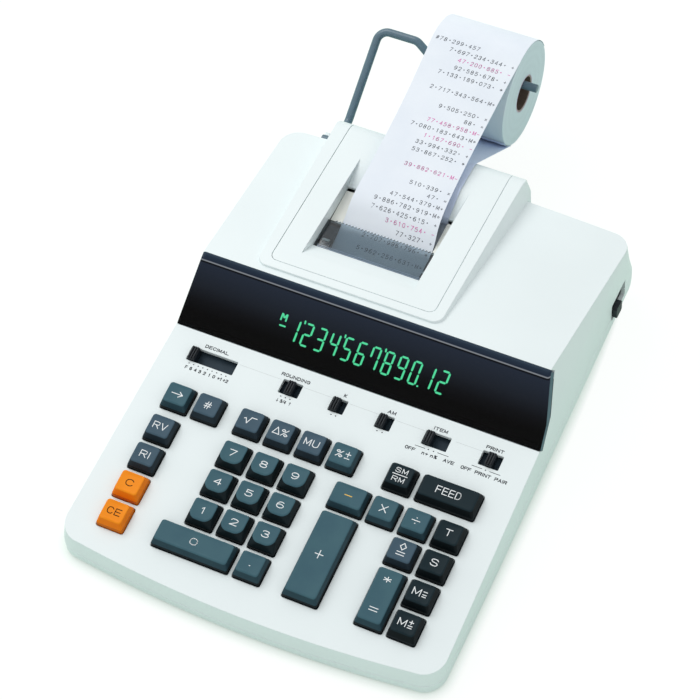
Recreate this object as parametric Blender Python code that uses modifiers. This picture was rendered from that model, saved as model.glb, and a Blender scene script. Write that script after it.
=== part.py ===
"""Desktop printing calculator as separate pieces, in metres, +Z up.

X runs to the right of the keyboard, Y from the front edge to the paper roll. The origin is on the
table, under the middle of the whole machine. Places along Y are worked out as depths behind the
front edge of the deck.
"""
import math

import bpy
import bmesh
from mathutils import Matrix, Vector

mm = 0.001
deg = math.pi / 180

# Clearances and walls
GAP = 0.3 * mm
OVERRUN = 8.0 * mm
CASE_WALL = 2.5 * mm

# Keyboard
KEY_PITCH = 19.05 * mm
ROW_PITCH = 18.6 * mm
KEY_WIDTH = 16.2 * mm
KEY_DEPTH = 15.9 * mm
KEY_HEIGHT = 6.0 * mm
KEY_SHOULDER = 1.0 * mm
KEY_CORNER = 1.0 * mm
KEY_SIDE_INSET = 1.4 * mm
KEY_FRONT_INSET = 2.6 * mm
KEY_REAR_INSET = 1.2 * mm
KEY_CLEARANCE = 0.35 * mm
KEY_CATCH = 0.45 * mm
KEY_CATCH_HEIGHT = 1.2 * mm
KEY_TRAVEL = 3.0 * mm
KEYBOARD_SHIFT = 0.35 * mm
LAST_COLUMN_SHARE = 9.16
LAST_ROW_SHARE = 4.15

# Deck
DECK_TILT = 7.0 * deg
DECK_FRONT_HEIGHT = 17.9 * mm
FRONT_MARGIN = 19.4 * mm
SIDE_MARGIN = 19.3 * mm
KEYS_TO_SLOTS = 16.9 * mm
SLOT_WIDTH = 8.8 * mm
SLOTS_TO_DISPLAY = 10.2 * mm

# Display band
BAND_LENGTH = 39.88 * mm
BAND_TILT = 44.87 * deg
BAND_RETURN = 4.4 * mm
BAND_RETURN_TILT = 39.0 * deg
WINDOW_THICKNESS = 4.5 * mm
WINDOW_SHELF = 2.0 * mm
APERTURE_WIDTH = 126.0 * mm
APERTURE_HEIGHT = 18.0 * mm
APERTURE_LOW = 8.0 * mm

# Plateau behind the display
PLATEAU_FALL = 6.84 * deg

# Case outline
PARTING_FRONT_HEIGHT = 7.5 * mm
PARTING_SLOPE = 0.065
SIDE_TAPER = 0.01
SIDE_DRAFT = 0.154
RIGHT_SWELL = ((0.0, 0.0), (13.0 * mm, 2.0 * mm), (28.0 * mm, 3.3 * mm), (60.0 * mm, -1.4 * mm))
FRONT_DRAFT = 0.15
REAR_DRAFT = 0.36
UPPER_REAR_DRAFT = 0.14
REAR_KNEE = 13.0 * mm
REAR_FLARE = 7.8 * mm
FRONT_BOW = 8.0 * mm
REAR_BOW = 4.0 * mm
FRONT_CORNER = 13.0 * mm
REAR_CORNER = 12.0 * mm
PAN_HEIGHT = 25.0 * mm
PAN_TUCK = 15.0 * mm
FOOT_HEIGHT = 2.0 * mm
FRONT_TUCK_SHARE = 0.3
PAN_TUCK_SHARES = ((0.0, 0.0), (0.3, 0.01), (0.5, 0.06), (0.7, 0.25), (1.0, 1.0))

# Printer hood and cover
HOOD_SETBACK = 4.6 * mm
HOOD_CENTRE_X = -18.15 * mm
HOOD_HALF_WIDTH = 56.35 * mm
HOOD_FLARE = 0.021
HOOD_DRAFT = 0.32
HOOD_FLANK = 13.0 * mm
HOOD_STEP = 1.4 * mm
HOOD_FALL = 0.0186
HOOD_OVERHANG = 11.0 * mm
HOOD_REAR_RADIUS = 10.0 * mm
HOOD_CORNER = 7.0 * mm
HOOD_FRONT_CORNER = 6.0 * mm
HOOD_RISE = 37.0 * mm
HOOD_UPPER = 5.0 * mm
COVER_MARGIN = 5.6 * mm
COVER_FRONT_MARGIN = 5.0 * mm
COVER_CORNER = 4.5 * mm
COVER_WALL = 2.2 * mm
COVER_SKIRT = 9.0 * mm
COVER_REAR_SKIRT = 17.0 * mm

# Paper window in the cover
WINDOW_HALF_WIDTH = 33.3 * mm
WINDOW_LEFT_EXTRA = 2.3 * mm
WINDOW_SETBACK = 15.5 * mm
WINDOW_SLOPE_LENGTH = 12.0 * mm
WINDOW_DEPTH = 6.4 * mm
WINDOW_LENGTH = 47.0 * mm
RAMP_DEPTH = 7.0 * mm
RAMP_LENGTH = 16.6 * mm
RAMP_MARGIN = 17.1 * mm
TUB_WALL = 1.8 * mm

# Printer
TEAR_BAR_THICKNESS = 1.5 * mm
TEAR_BAR_LENGTH = 21.0 * mm
TEAR_BAR_DROP = 7.6 * mm
TEAR_TOOTH = 2.0 * mm
TEAR_TOOTH_COUNT = 31
LEDGE_LENGTH = 16.5 * mm
LEDGE_DROP = 10.0 * mm
LEDGE_THICKNESS = 2.0 * mm
FEED_SLOT = 2.4 * mm
PLATEN_RADIUS = 9.0 * mm
PLATEN_BACKSET = 24.2 * mm
PLATEN_DROP = 28.5 * mm
PLATEN_LENGTH = 62.0 * mm
SHAFT_RADIUS = 2.0 * mm
FRAME_SIDE_GAP = 5.4 * mm
FRAME_WALL = 2.0 * mm
FRAME_BASE_HEIGHT = 14.0 * mm
FRAME_TOP_DROP = 4.6 * mm
FRAME_FRONT_SETBACK = 8.0 * mm
FRAME_LENGTH = 84.0 * mm
GEAR_RADIUS = 8.0 * mm
GEAR_WIDTH = 3.0 * mm
RAIL_RADIUS = 2.0 * mm
RAIL_AHEAD = 25.0 * mm
RAIL_DROP = 4.0 * mm
CARRIAGE_WIDTH = 14.0 * mm
CARRIAGE_BLOCK = 8.0 * mm
WHEEL_RADIUS = 6.0 * mm
WHEEL_WIDTH = 9.0 * mm
WHEEL_GAP = 2.0 * mm
RIBBON_LENGTH = 18.0 * mm
RIBBON_HEIGHT = 7.0 * mm
RIBBON_AHEAD = 20.0 * mm
RIBBON_LIFT = 8.0 * mm
SPOOL_RADIUS = 8.0 * mm
SPOOL_HEIGHT = 2.0 * mm
SPOOL_SPREAD = 22.0 * mm

# Paper
PAPER_WIDTH = 56.0 * mm
PAPER_CENTRE_X = -17.6 * mm
PAPER_THICKNESS = 0.35 * mm
PAPER_GAP = 0.45 * mm
WEB_WRAP = 28.0 * deg
STRIP_START_SHARE = 0.6
STRIP_CLIMB_SHARE = 0.36
STRIP_LIFT = 4.5 * mm
STRIP_SAG = 1.2 * mm
STRIP_END_ANGLE = 17.0 * deg
ROLL_RADIUS = 32.3 * mm
CORE_HOLE_RADIUS = 10.5 * mm

# Wire arm
WIRE_RADIUS = 2.5 * mm
ARM_PIVOT_BACKSET = 7.2 * mm
ARM_PIVOT_DROP = 11.6 * mm
ARM_SIDE_X = -84.6 * mm
ARM_BEND_REACH = 21.7 * mm
ARM_BEND_DROP = 7.0 * mm
ARM_TOP_REACH = 72.0 * mm
ARM_TOP_RISE = 24.5 * mm
ARM_JOG_OUTER_X = -60.0 * mm
ARM_JOG_INNER_X = -50.5 * mm
ARM_AXLE_REACH = 68.8 * mm
ARM_AXLE_RISE = 18.5 * mm
ARM_TIP_X = 19.0 * mm
ARM_BEND_RADIUS = 6.5 * mm
ARM_STUB = 6.2 * mm
BEND_SHARE = 0.45
EAR_THICKNESS = 3.2 * mm
EAR_WALL = 2.2 * mm

# Sliders
SLIDER_LENGTH = 4.5 * mm
SLIDER_HEIGHT = 3.0 * mm
SLIDER_STEP = 2.85 * mm
SLIDER_END_GAP = 0.9 * mm
SLIDER_CATCH = 1.0 * mm
SLIDER_CATCH_HEIGHT = 1.2 * mm

# Power switch in the right wall
POWER_SETBACK = 45.0 * mm
POWER_SLOT_LENGTH = 21.0 * mm
POWER_SLOT_HEIGHT = 14.0 * mm
POWER_SLOT_BOTTOM = 20.0 * mm
POWER_KNOB_LENGTH = 8.0 * mm
POWER_KNOB_HEIGHT = 8.5 * mm
POWER_KNOB_REACH = 2.6 * mm
POWER_INSET = 2.9 * mm
POWER_CATCH = 2.0 * mm
POWER_CATCH_RISE = 3.6 * mm
POWER_CATCH_EXTRA = 2.5 * mm
POWER_END_GAP = 0.9 * mm

# Inside the case
BOARD_THICKNESS = 1.6 * mm
BOARD_CLEARANCE = 1.2 * mm
BOARD_MARGIN = 0.35 * mm
BOARD_FRONT = 14.0 * mm
BOARD_REAR = 5.0 * mm
POST_RADIUS = 3.0 * mm
TUBE_MARGIN = 3.0 * mm
TUBE_THICKNESS = 6.0 * mm
TRANSFORMER_WIDTH = 52.0 * mm
TRANSFORMER_DEPTH = 44.0 * mm
TRANSFORMER_PLATE = 2.0 * mm
TRANSFORMER_TAB = 7.0 * mm
TRANSFORMER_CORE = 22.0 * mm
TRANSFORMER_COIL = 8.0 * mm
TRANSFORMER_COIL_INSET = 7.0 * mm
TRANSFORMER_SETBACK = 16.0 * mm
TRANSFORMER_SIDE = 24.0 * mm

# Feet and cord gland
FOOT_RADIUS = 7.0 * mm
FOOT_RECESS = 1.2 * mm
FOOT_SIDE_MARGIN = 24.0 * mm
FOOT_FRONT_MARGIN = 26.0 * mm
FOOT_REAR_MARGIN = 34.0 * mm
GLAND_X = 80.0 * mm
GLAND_RADIUS = 4.0 * mm
GLAND_FLANGE = 1.6 * mm
GLAND_BORE = 2.6 * mm
GLAND_OUTSIDE = 5.0 * mm
GLAND_INSIDE = 3.0 * mm
GLAND_ABOVE_PARTING = 8.0 * mm

# Facets
CORNER_STEPS = 2
OUTLINE_STEPS = 5
BOW_STEPS = 10
ROUND_STEPS = 24
ROLL_STEPS = 48

# name, column, row, extra columns to the left, extra rows to the rear: all in pitches
KEY_SHARES = (
    ("key_arrow", 0.0, 4.15, 0.0, 0.0),
    ("key_number_sign", 1.0, 4.15, 0.0, 0.0),
    ("key_root", 2.375, 4.15, 0.0, 0.0),
    ("key_delta_percent", 3.375, 4.15, 0.0, 0.0),
    ("key_mark_up", 4.375, 4.15, 0.0, 0.0),
    ("key_percent_sign_change", 5.375, 4.15, 0.0, 0.0),
    ("key_memory_store_recall", 7.16, 4.15, 0.0, 0.0),
    ("key_paper_feed", 9.16, 4.15, 0.98, 0.0),
    ("key_reverse", 0.0, 3.0, 0.0, 0.0),
    ("key_7", 2.375, 3.0, 0.0, 0.0),
    ("key_8", 3.375, 3.0, 0.0, 0.0),
    ("key_9", 4.375, 3.0, 0.0, 0.0),
    ("key_minus", 6.18, 3.0, 0.247, 0.0),
    ("key_times", 7.16, 3.0, 0.0, 0.0),
    ("key_divide", 8.16, 3.0, 0.0, 0.0),
    ("key_total", 9.16, 3.0, 0.0, 0.0),
    ("key_recall_item", 0.0, 2.0, 0.0, 0.0),
    ("key_4", 2.375, 2.0, 0.0, 0.0),
    ("key_5", 3.375, 2.0, 0.0, 0.0),
    ("key_6", 4.375, 2.0, 0.0, 0.0),
    ("key_diamond_equals", 8.16, 2.0, 0.0, 0.0),
    ("key_subtotal", 9.16, 2.0, 0.0, 0.0),
    ("key_clear", 0.0, 1.0, 0.0, 0.0),
    ("key_1", 2.375, 1.0, 0.0, 0.0),
    ("key_2", 3.375, 1.0, 0.0, 0.0),
    ("key_3", 4.375, 1.0, 0.0, 0.0),
    ("key_memory_minus", 9.16, 1.0, 0.0, 0.0),
    ("key_clear_entry", 0.0, 0.0, 0.0, 0.0),
    ("key_0", 3.375, 0.0, 1.6, 0.0),
    ("key_point", 4.375, 0.0, 0.0, 0.0),
    ("key_plus", 6.18, 0.0, 0.247, 2.0),
    ("key_star_equals", 8.16, 0.0, 0.0, 1.0),
    ("key_memory_plus", 9.16, 0.0, 0.0, 0.0),
)

# name, centre as a share of the key block's width, number of stops, stop that it rests at
SLIDER_SHARES = (
    ("slider_decimal", 0.0766, 9, 0),
    ("slider_rounding", 0.3353, 3, 1),
    ("slider_constant", 0.4887, 2, 0),
    ("slider_add_mode", 0.6376, 2, 0),
    ("slider_item", 0.8015, 4, 0),
    ("slider_print", 0.9709, 3, 1),
)

WHITE_PLASTIC = (0.86, 0.88, 0.87)
SMOKED_PLASTIC = (0.015, 0.017, 0.02)
CLEAR_SMOKE = (0.10, 0.11, 0.12)
SLATE_PLASTIC = (0.055, 0.095, 0.125)
PURPLE_PLASTIC = (0.060, 0.078, 0.115)
DARK_PLASTIC = (0.022, 0.033, 0.043)
ORANGE_PLASTIC = (0.93, 0.26, 0.012)
BLACK_PLASTIC = (0.012, 0.012, 0.014)
BLACK_RUBBER = (0.02, 0.02, 0.02)
GREY_STEEL = (0.45, 0.46, 0.47)
BLUE_STEEL = (0.07, 0.12, 0.155)
WHITE_PAPER = (0.85, 0.90, 0.93)
GREEN_BOARD = (0.04, 0.22, 0.10)
TUBE_GLASS = (0.05, 0.09, 0.09)

ORANGE_KEYS = ("key_clear", "key_clear_entry")
PURPLE_KEYS = ("key_number_sign", "key_root", "key_delta_percent", "key_mark_up", "key_reverse",
               "key_recall_item", "key_diamond_equals")
DARK_KEYS = ("key_memory_store_recall", "key_paper_feed", "key_total", "key_subtotal",
             "key_memory_minus", "key_memory_plus")

# Places that follow from the sizes
key_block_width = LAST_COLUMN_SHARE * KEY_PITCH + KEY_WIDTH
key_block_depth = LAST_ROW_SHARE * ROW_PITCH + KEY_DEPTH
key_block_left = KEYBOARD_SHIFT - key_block_width / 2
slot_front = FRONT_MARGIN + key_block_depth + KEYS_TO_SLOTS
deck_length = slot_front + SLOT_WIDTH + SLOTS_TO_DISPLAY
half_width = key_block_width / 2 + SIDE_MARGIN

band_foot = Vector((deck_length * math.cos(DECK_TILT),
                    DECK_FRONT_HEIGHT + deck_length * math.sin(DECK_TILT)))
band_along = Vector((math.cos(BAND_TILT), math.sin(BAND_TILT)))
band_out = Vector((-math.sin(BAND_TILT), math.cos(BAND_TILT)))
return_along = Vector((math.cos(BAND_RETURN_TILT), math.sin(BAND_RETURN_TILT)))
return_out = Vector((-math.sin(BAND_RETURN_TILT), math.cos(BAND_RETURN_TILT)))
band_crease = band_foot + band_along * BAND_LENGTH
band_top = band_crease + return_along * BAND_RETURN
plateau_along = Vector((math.cos(PLATEAU_FALL), -math.sin(PLATEAU_FALL)))
plateau_out = Vector((math.sin(PLATEAU_FALL), math.cos(PLATEAU_FALL)))
hood_length = (WINDOW_SETBACK + WINDOW_SLOPE_LENGTH + WINDOW_LENGTH + RAMP_LENGTH + RAMP_MARGIN
               + HOOD_REAR_RADIUS)
plateau_length = (HOOD_SETBACK + hood_length - HOOD_OVERHANG) / math.cos(PLATEAU_FALL)
plateau_rear = band_top + plateau_along * plateau_length
deck_along = Vector((math.cos(DECK_TILT), math.sin(DECK_TILT)))
deck_out = Vector((-math.sin(DECK_TILT), math.cos(DECK_TILT)))
case_rear = plateau_rear.x + REAR_FLARE

board_below = CASE_WALL + GAP + KEY_CATCH_HEIGHT + KEY_TRAVEL + BOARD_CLEARANCE

hood_front = band_top.x + HOOD_SETBACK
hood_height = band_top.y - HOOD_SETBACK * math.tan(PLATEAU_FALL) + HOOD_STEP
hood_rear = hood_front + hood_length
window_front = hood_front + WINDOW_SETBACK
window_open = window_front + WINDOW_SLOPE_LENGTH
window_rear = window_open + WINDOW_LENGTH
ramp_rear = window_rear + RAMP_LENGTH
frame_half_width = WINDOW_HALF_WIDTH + TUB_WALL + FRAME_SIDE_GAP + FRAME_WALL

arm_pivot = Vector((plateau_rear.x + ARM_PIVOT_BACKSET, plateau_rear.y - ARM_PIVOT_DROP))
axle_depth = arm_pivot.x + ARM_AXLE_REACH
axle_height = arm_pivot.y + ARM_AXLE_RISE
roll_height = axle_height + WIRE_RADIUS + GAP - CORE_HOLE_RADIUS
front_depth = -FRONT_DRAFT * (DECK_FRONT_HEIGHT - PARTING_FRONT_HEIGHT)
rear_depth = axle_depth + ROLL_RADIUS
middle_depth = (front_depth + rear_depth) / 2


def hood_top(depth):
    """Height of the hood's top face, short of its rounded rear edge."""
    return hood_height - HOOD_FALL * (depth - hood_front)


def parting(depth):
    """Height of the seam between the two halves of the case."""
    return PARTING_FRONT_HEIGHT + PARTING_SLOPE * depth


def place(x, depth, height):
    """A point of the model from its depth behind the deck's front edge."""
    return Vector((x, depth - middle_depth, height))


def deck_matrix():
    """The deck's own frame: X right, Y up the slope from its front edge, Z out of the deck."""
    return Matrix.Translation(place(0, 0, DECK_FRONT_HEIGHT)) @ Matrix.Rotation(DECK_TILT, 4, "X")


def band_matrix():
    """The display band's frame: X right, Y up the band from its foot, Z out of the band."""
    foot = place(0, band_foot.x, band_foot.y)
    return Matrix.Translation(foot) @ Matrix.Rotation(BAND_TILT, 4, "X")


def new_collection(name):
    collection = bpy.data.collections.new(name)
    bpy.context.scene.collection.children.link(collection)
    return collection


def new_material(name, colour, roughness, metallic=0.0, alpha=1.0):
    material = bpy.data.materials.new(name)
    material.use_nodes = True
    shader = material.node_tree.nodes["Principled BSDF"]
    shader.inputs["Base Color"].default_value = (*colour, 1)
    shader.inputs["Roughness"].default_value = roughness
    shader.inputs["Metallic"].default_value = metallic
    shader.inputs["Alpha"].default_value = alpha
    return material


def add_mesh(name, mesh, material=None, matrix=None):
    """A part where a material is given, and otherwise a cutter."""
    item = bpy.data.objects.new(name, mesh)
    if material:
        mesh.materials.clear()
        mesh.materials.append(material)
        parts.objects.link(item)
    else:
        cutters.objects.link(item)
        item.hide_render = True
        item.display_type = "WIRE"
    if matrix:
        item.matrix_world = matrix
    return item


def cut(target, cutter, operation="DIFFERENCE"):
    modifier = target.modifiers.new(cutter.name, "BOOLEAN")
    modifier.operation = operation
    modifier.solver = "EXACT"
    modifier.object = cutter


def boxes(name, ranges, material=None, matrix=None):
    """Boxes from (low, high) ranges along X, Y and Z, all in one mesh."""
    shape = bmesh.new()
    for spans in ranges:
        corners = bmesh.ops.create_cube(shape, size=1)["verts"]
        for corner in corners:
            corner.co = [span[0] + (value + 1 / 2) * (span[1] - span[0])
                         for value, span in zip(corner.co, spans)]
    mesh = bpy.data.meshes.new(name)
    shape.to_mesh(mesh)
    shape.free()
    return add_mesh(name, mesh, material, matrix)


def rods(name, rods_list, steps, material=None, matrix=None):
    """Cylinders along Z from (x, y, low, high, radius), all in one mesh."""
    shape = bmesh.new()
    for x, y, low, high, radius in rods_list:
        middle = Matrix.Translation((x, y, (low + high) / 2))
        bmesh.ops.create_cone(shape, cap_ends=True, segments=steps, radius1=radius, radius2=radius,
                              depth=high - low, matrix=middle)
    mesh = bpy.data.meshes.new(name)
    shape.to_mesh(mesh)
    shape.free()
    return add_mesh(name, mesh, material, matrix)


def mesh_from_curve(item):
    """The curve's evaluated mesh, with its caps welded on, in place of the curve."""
    bpy.context.view_layer.update()
    evaluated = item.evaluated_get(bpy.context.evaluated_depsgraph_get())
    mesh = bpy.data.meshes.new_from_object(evaluated)
    curve = item.data
    bpy.data.objects.remove(item)
    bpy.data.curves.remove(curve)
    shape = bmesh.new()
    shape.from_mesh(mesh)
    bmesh.ops.remove_doubles(shape, verts=shape.verts, dist=GAP / 100)
    shape.to_mesh(mesh)
    shape.free()
    return mesh


def flat_outline(name, outline, thickness, material=None, matrix=None):
    """A flat outline in local X and Y, given its thickness along local Z."""
    curve = bpy.data.curves.new(name, "CURVE")
    curve.dimensions = "2D"
    curve.fill_mode = "BOTH"
    curve.extrude = thickness / 2
    spline = curve.splines.new("POLY")
    spline.points.add(len(outline) - 1)
    for point, (x, y) in zip(spline.points, outline):
        point.co = (x, y, 0, 1)
    spline.use_cyclic_u = True
    item = bpy.data.objects.new(name, curve)
    cutters.objects.link(item)
    return add_mesh(name, mesh_from_curve(item), material, matrix)


def side_matrix(x_middle):
    """Turns an outline in (depth, height) so that its thickness runs along X."""
    turn = Matrix(((0, 0, 1, 0), (1, 0, 0, 0), (0, 1, 0, 0), (0, 0, 0, 1)))
    return Matrix.Translation(place(x_middle, 0, 0)) @ turn


def side_outline(name, outline, x_low, x_high, material=None):
    """A prism along X from its outline in (depth, height)."""
    matrix = side_matrix((x_low + x_high) / 2)
    return flat_outline(name, outline, x_high - x_low, material, matrix)


def lofted(name, rings, material=None, matrix=None):
    """A closed solid through rings that have as many points each."""
    shape = bmesh.new()
    loops = [[shape.verts.new(point) for point in ring] for ring in rings]
    count = len(loops[0])
    for lower, upper in zip(loops, loops[1:]):
        for index in range(count):
            following = (index + 1) % count
            shape.faces.new((lower[index], lower[following], upper[following], upper[index]))
    shape.faces.new(reversed(loops[0]))
    shape.faces.new(loops[-1])
    bmesh.ops.recalc_face_normals(shape, faces=shape.faces)
    mesh = bpy.data.meshes.new(name)
    shape.to_mesh(mesh)
    shape.free()
    return add_mesh(name, mesh, material, matrix)


def turned(name, profile, steps, material, matrix):
    """A closed profile in (radius, height), turned about local Z."""
    mesh = bpy.data.meshes.new(name)
    points = [(radius, 0, height) for radius, height in profile]
    count = len(points)
    edges = [(index, index + 1) for index in range(count - 1)]
    if min(radius for radius, height in profile) > 0:
        edges.append((count - 1, 0))
    mesh.from_pydata(points, edges, [])
    item = add_mesh(name, mesh, material, matrix)
    screw = item.modifiers.new("turn", "SCREW")
    screw.steps = steps
    screw.render_steps = steps
    screw.use_merge_vertices = True
    screw.merge_threshold = GAP / 100
    screw.use_smooth_shade = True
    return item


def arc(centre, radius, start, end, steps):
    """Points of an arc about a centre in (x, y), from one angle to another."""
    points = []
    for step in range(steps + 1):
        angle = start + (end - start) * step / steps
        points.append((centre[0] + radius * math.cos(angle), centre[1] + radius * math.sin(angle)))
    return points


def rounded(x_low, x_high, y_low, y_high, radius, steps=CORNER_STEPS):
    """A rectangle with round corners."""
    right = x_high - radius
    left = x_low + radius
    front = y_low + radius
    rear = y_high - radius
    quarter = math.pi / 2
    corners = ((right, front, -quarter), (right, rear, 0.0), (left, rear, quarter),
               (left, front, 2 * quarter))
    points = []
    for x, y, start in corners:
        points += arc((x, y), radius, start, start + quarter, steps)
    return points


def meet(first, first_along, second, second_along):
    """Where two lines cross."""
    across = first_along.x * second_along.y - first_along.y * second_along.x
    apart = second - first
    reach = (apart.x * second_along.y - apart.y * second_along.x) / across
    return first + first_along * reach


def smooth(points, steps):
    """A Catmull-Rom curve through the points."""
    curve = []
    ends = [points[0] * 2 - points[1]] + list(points) + [points[-1] * 2 - points[-2]]
    for before, start, end, after in zip(ends, ends[1:], ends[2:], ends[3:]):
        for step in range(steps):
            share = step / steps
            bend = (before * -1 + start * 3 - end * 3 + after) * share ** 3
            bend += (before * 2 - start * 5 + end * 4 - after) * share ** 2
            bend += (end - before) * share
            curve.append((bend + start * 2) / 2)
    curve.append(points[-1])
    return curve


def ribbon(path, thickness):
    """The outline of a strip that follows a path in (depth, height)."""
    left = []
    right = []
    for index, point in enumerate(path):
        before = path[max(index - 1, 0)]
        after = path[min(index + 1, len(path) - 1)]
        along = (after - before).normalized()
        side = Vector((-along.y, along.x)) * (thickness / 2)
        left.append(point + side)
        right.append(point - side)
    return left + right[::-1]


def right_swell(height):
    """How much further out the right wall is than the left one at a height above the seam."""
    for (low, start), (high, end) in zip(RIGHT_SWELL, RIGHT_SWELL[1:]):
        if height <= high:
            return start + (end - start) * max(height - low, 0.0) / (high - low)
    return RIGHT_SWELL[-1][1]


def case_ring(height, shrink, tuck=0.0):
    """One outline of the case at a height above the seam, shrunk all round by a wall."""
    draft = SIDE_DRAFT * max(height, 0.0)
    front = front_depth + FRONT_DRAFT * max(height, 0.0) + shrink + tuck * FRONT_TUCK_SHARE
    rear = case_rear - REAR_DRAFT * min(max(height, 0.0), REAR_KNEE)
    rear -= UPPER_REAR_DRAFT * max(height - REAR_KNEE, 0.0) + shrink + tuck

    def half(depth):
        return half_width - SIDE_TAPER * depth - draft - shrink - tuck

    def front_line(x):
        return front + FRONT_BOW * (x / half_width) ** 2

    def rear_line(x):
        return rear - REAR_BOW * (x / half_width) ** 2

    front_corner = FRONT_CORNER - shrink
    rear_corner = REAR_CORNER - shrink
    x_front = half(front) - front_corner
    x_rear = half(rear) - rear_corner
    swell = right_swell(height)
    quarter = math.pi / 2
    outline = []
    for step in range(BOW_STEPS):
        x = (2 * x_front + swell) * step / BOW_STEPS - x_front
        outline.append((x, front_line(x)))
    centre = (x_front + swell, front_line(x_front + swell) + front_corner)
    outline += arc(centre, front_corner, -quarter, 0.0, OUTLINE_STEPS)
    centre = (x_rear + swell, rear_line(x_rear + swell) - rear_corner)
    outline += arc(centre, rear_corner, 0.0, quarter, OUTLINE_STEPS)
    for step in range(1, BOW_STEPS):
        x = x_rear + swell - (2 * x_rear + swell) * step / BOW_STEPS
        outline.append((x, rear_line(x)))
    centre = (-x_rear, rear_line(x_rear) - rear_corner)
    outline += arc(centre, rear_corner, quarter, 2 * quarter, OUTLINE_STEPS)
    centre = (-x_front, front_line(x_front) + front_corner)
    outline += arc(centre, front_corner, 2 * quarter, 3 * quarter, OUTLINE_STEPS)[:-1]
    return [place(x, depth, parting(depth) + height) for x, depth in outline]


def upper_rings(shrink, low):
    """Outlines of the case above the seam, before its top is cut."""
    heights = (low,) + tuple(height for height, swell in RIGHT_SWELL[1:])
    return [case_ring(height, shrink) for height in heights]


def deck_point(along, below):
    return Vector((0, DECK_FRONT_HEIGHT)) + deck_along * along - deck_out * below


def case_top_outline(deck_wall, band_wall, plateau_wall):
    """The side view of the case under its top faces, each lowered by a wall."""
    start = deck_point(-2 * OVERRUN, deck_wall)
    foot = meet(start, deck_along, band_foot - band_out * band_wall, band_along)
    plateau_line = band_top - plateau_out * plateau_wall
    end = plateau_line + plateau_along * (plateau_length + 4 * OVERRUN)
    outline = [Vector((start.x, -OVERRUN)), start, foot]
    if band_wall > 0:
        outline.append(meet(foot, band_along, plateau_line, plateau_along))
    else:
        outline += [band_crease, band_top]
    outline += [end, Vector((end.x, -OVERRUN))]
    return outline[::-1]


def hood_ring(height, shrink):
    """One outline of the hood at a height, wider towards its foot and its rear."""
    spread = HOOD_DRAFT * min(hood_height - height, HOOD_FLANK)

    def half(depth):
        return HOOD_HALF_WIDTH + HOOD_FLARE * (depth - hood_front) + spread - shrink

    front = hood_front + shrink
    rear = hood_rear - shrink
    corner = HOOD_CORNER - shrink
    near_corner = HOOD_FRONT_CORNER - shrink
    quarter = math.pi / 2
    x_front = half(front) - near_corner
    x_rear = half(rear) - corner
    near = front + near_corner
    outline = arc((-x_front, near), near_corner, -2 * quarter, -quarter, OUTLINE_STEPS)
    outline += arc((x_front, near), near_corner, -quarter, 0.0, OUTLINE_STEPS)
    outline += arc((x_rear, rear - corner), corner, 0.0, quarter, OUTLINE_STEPS)
    outline += arc((-x_rear, rear - corner), corner, quarter, 2 * quarter, OUTLINE_STEPS)
    return [place(x + HOOD_CENTRE_X, depth, height) for x, depth in outline]


def hood_rings(shrink, low):
    heights = (low, hood_height - HOOD_FLANK, hood_height + HOOD_UPPER)
    return [hood_ring(height, shrink) for height in heights]


def hood_outline(wall):
    """The side view of the hood's top and rounded rear edge, lowered by a wall."""
    radius = HOOD_REAR_RADIUS
    centre = Vector((hood_rear - radius, hood_top(hood_rear - radius) - radius))
    bend = arc(centre, radius - wall, math.pi / 2, 0.0, OUTLINE_STEPS)
    start = hood_front - OVERRUN
    foot = hood_height - HOOD_RISE - OVERRUN
    outline = [(start, foot), (start, hood_top(start) - wall)] + bend
    outline.append((hood_rear - wall, foot))
    return outline[::-1]


def hood_block(name, shrink, low):
    """The hood as a block with its top rounded off."""
    block = lofted(name, hood_rings(shrink, low))
    half = HOOD_HALF_WIDTH * 2
    top = side_outline(name + "_top", hood_outline(shrink), HOOD_CENTRE_X - half, HOOD_CENTRE_X + half)
    cut(block, top, "INTERSECT")
    return block


def build_case_cutters():
    """Blocks and outlines that the two halves of the case share."""
    wide = half_width + OVERRUN
    shapes = {}
    shapes["outer_top"] = side_outline("case_outer_top", case_top_outline(0, 0, 0), -wide, wide)
    band_wall = WINDOW_THICKNESS + GAP + WINDOW_SHELF
    inner = case_top_outline(CASE_WALL, band_wall, CASE_WALL)
    shapes["inner_top"] = side_outline("case_inner_top", inner, -wide, wide)
    shapes["hollow"] = lofted("case_hollow", upper_rings(CASE_WALL, -OVERRUN))
    cut(shapes["hollow"], shapes["inner_top"], "INTERSECT")
    base = hood_height - HOOD_RISE
    shapes["hood"] = hood_block("hood_outer", 0.0, base)
    shapes["hood_hollow"] = hood_block("hood_inner", CASE_WALL, base + CASE_WALL)
    low = POWER_SLOT_BOTTOM
    start = case_rear - POWER_SETBACK
    span_x = (half_width - OVERRUN * 2, half_width + OVERRUN)
    span_y = (place(0, start, 0).y, place(0, start + POWER_SLOT_LENGTH, 0).y)
    shapes["power"] = boxes("power_slot", [(span_x, span_y, (low, low + POWER_SLOT_HEIGHT))])
    return shapes


def window_outline(margin):
    """The side view of the display window, grown by a margin on its hidden sides."""
    depth = WINDOW_THICKNESS + margin
    start = band_foot - band_along * margin
    end = band_top + return_along * margin
    inner_start = start - band_out * depth
    inner_end = end - return_out * depth
    corner = meet(inner_start, band_along, inner_end, return_along)
    outline = [start, inner_start, corner, inner_end, end]
    if margin > 0:
        out = OVERRUN
        outline[0] = start + band_out * out
        outline[-1] = end + return_out * out
        crown = meet(start + band_out * out, band_along, end + return_out * out, return_along)
        outline.append(crown)
    else:
        outline.append(band_crease)
    return outline


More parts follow.
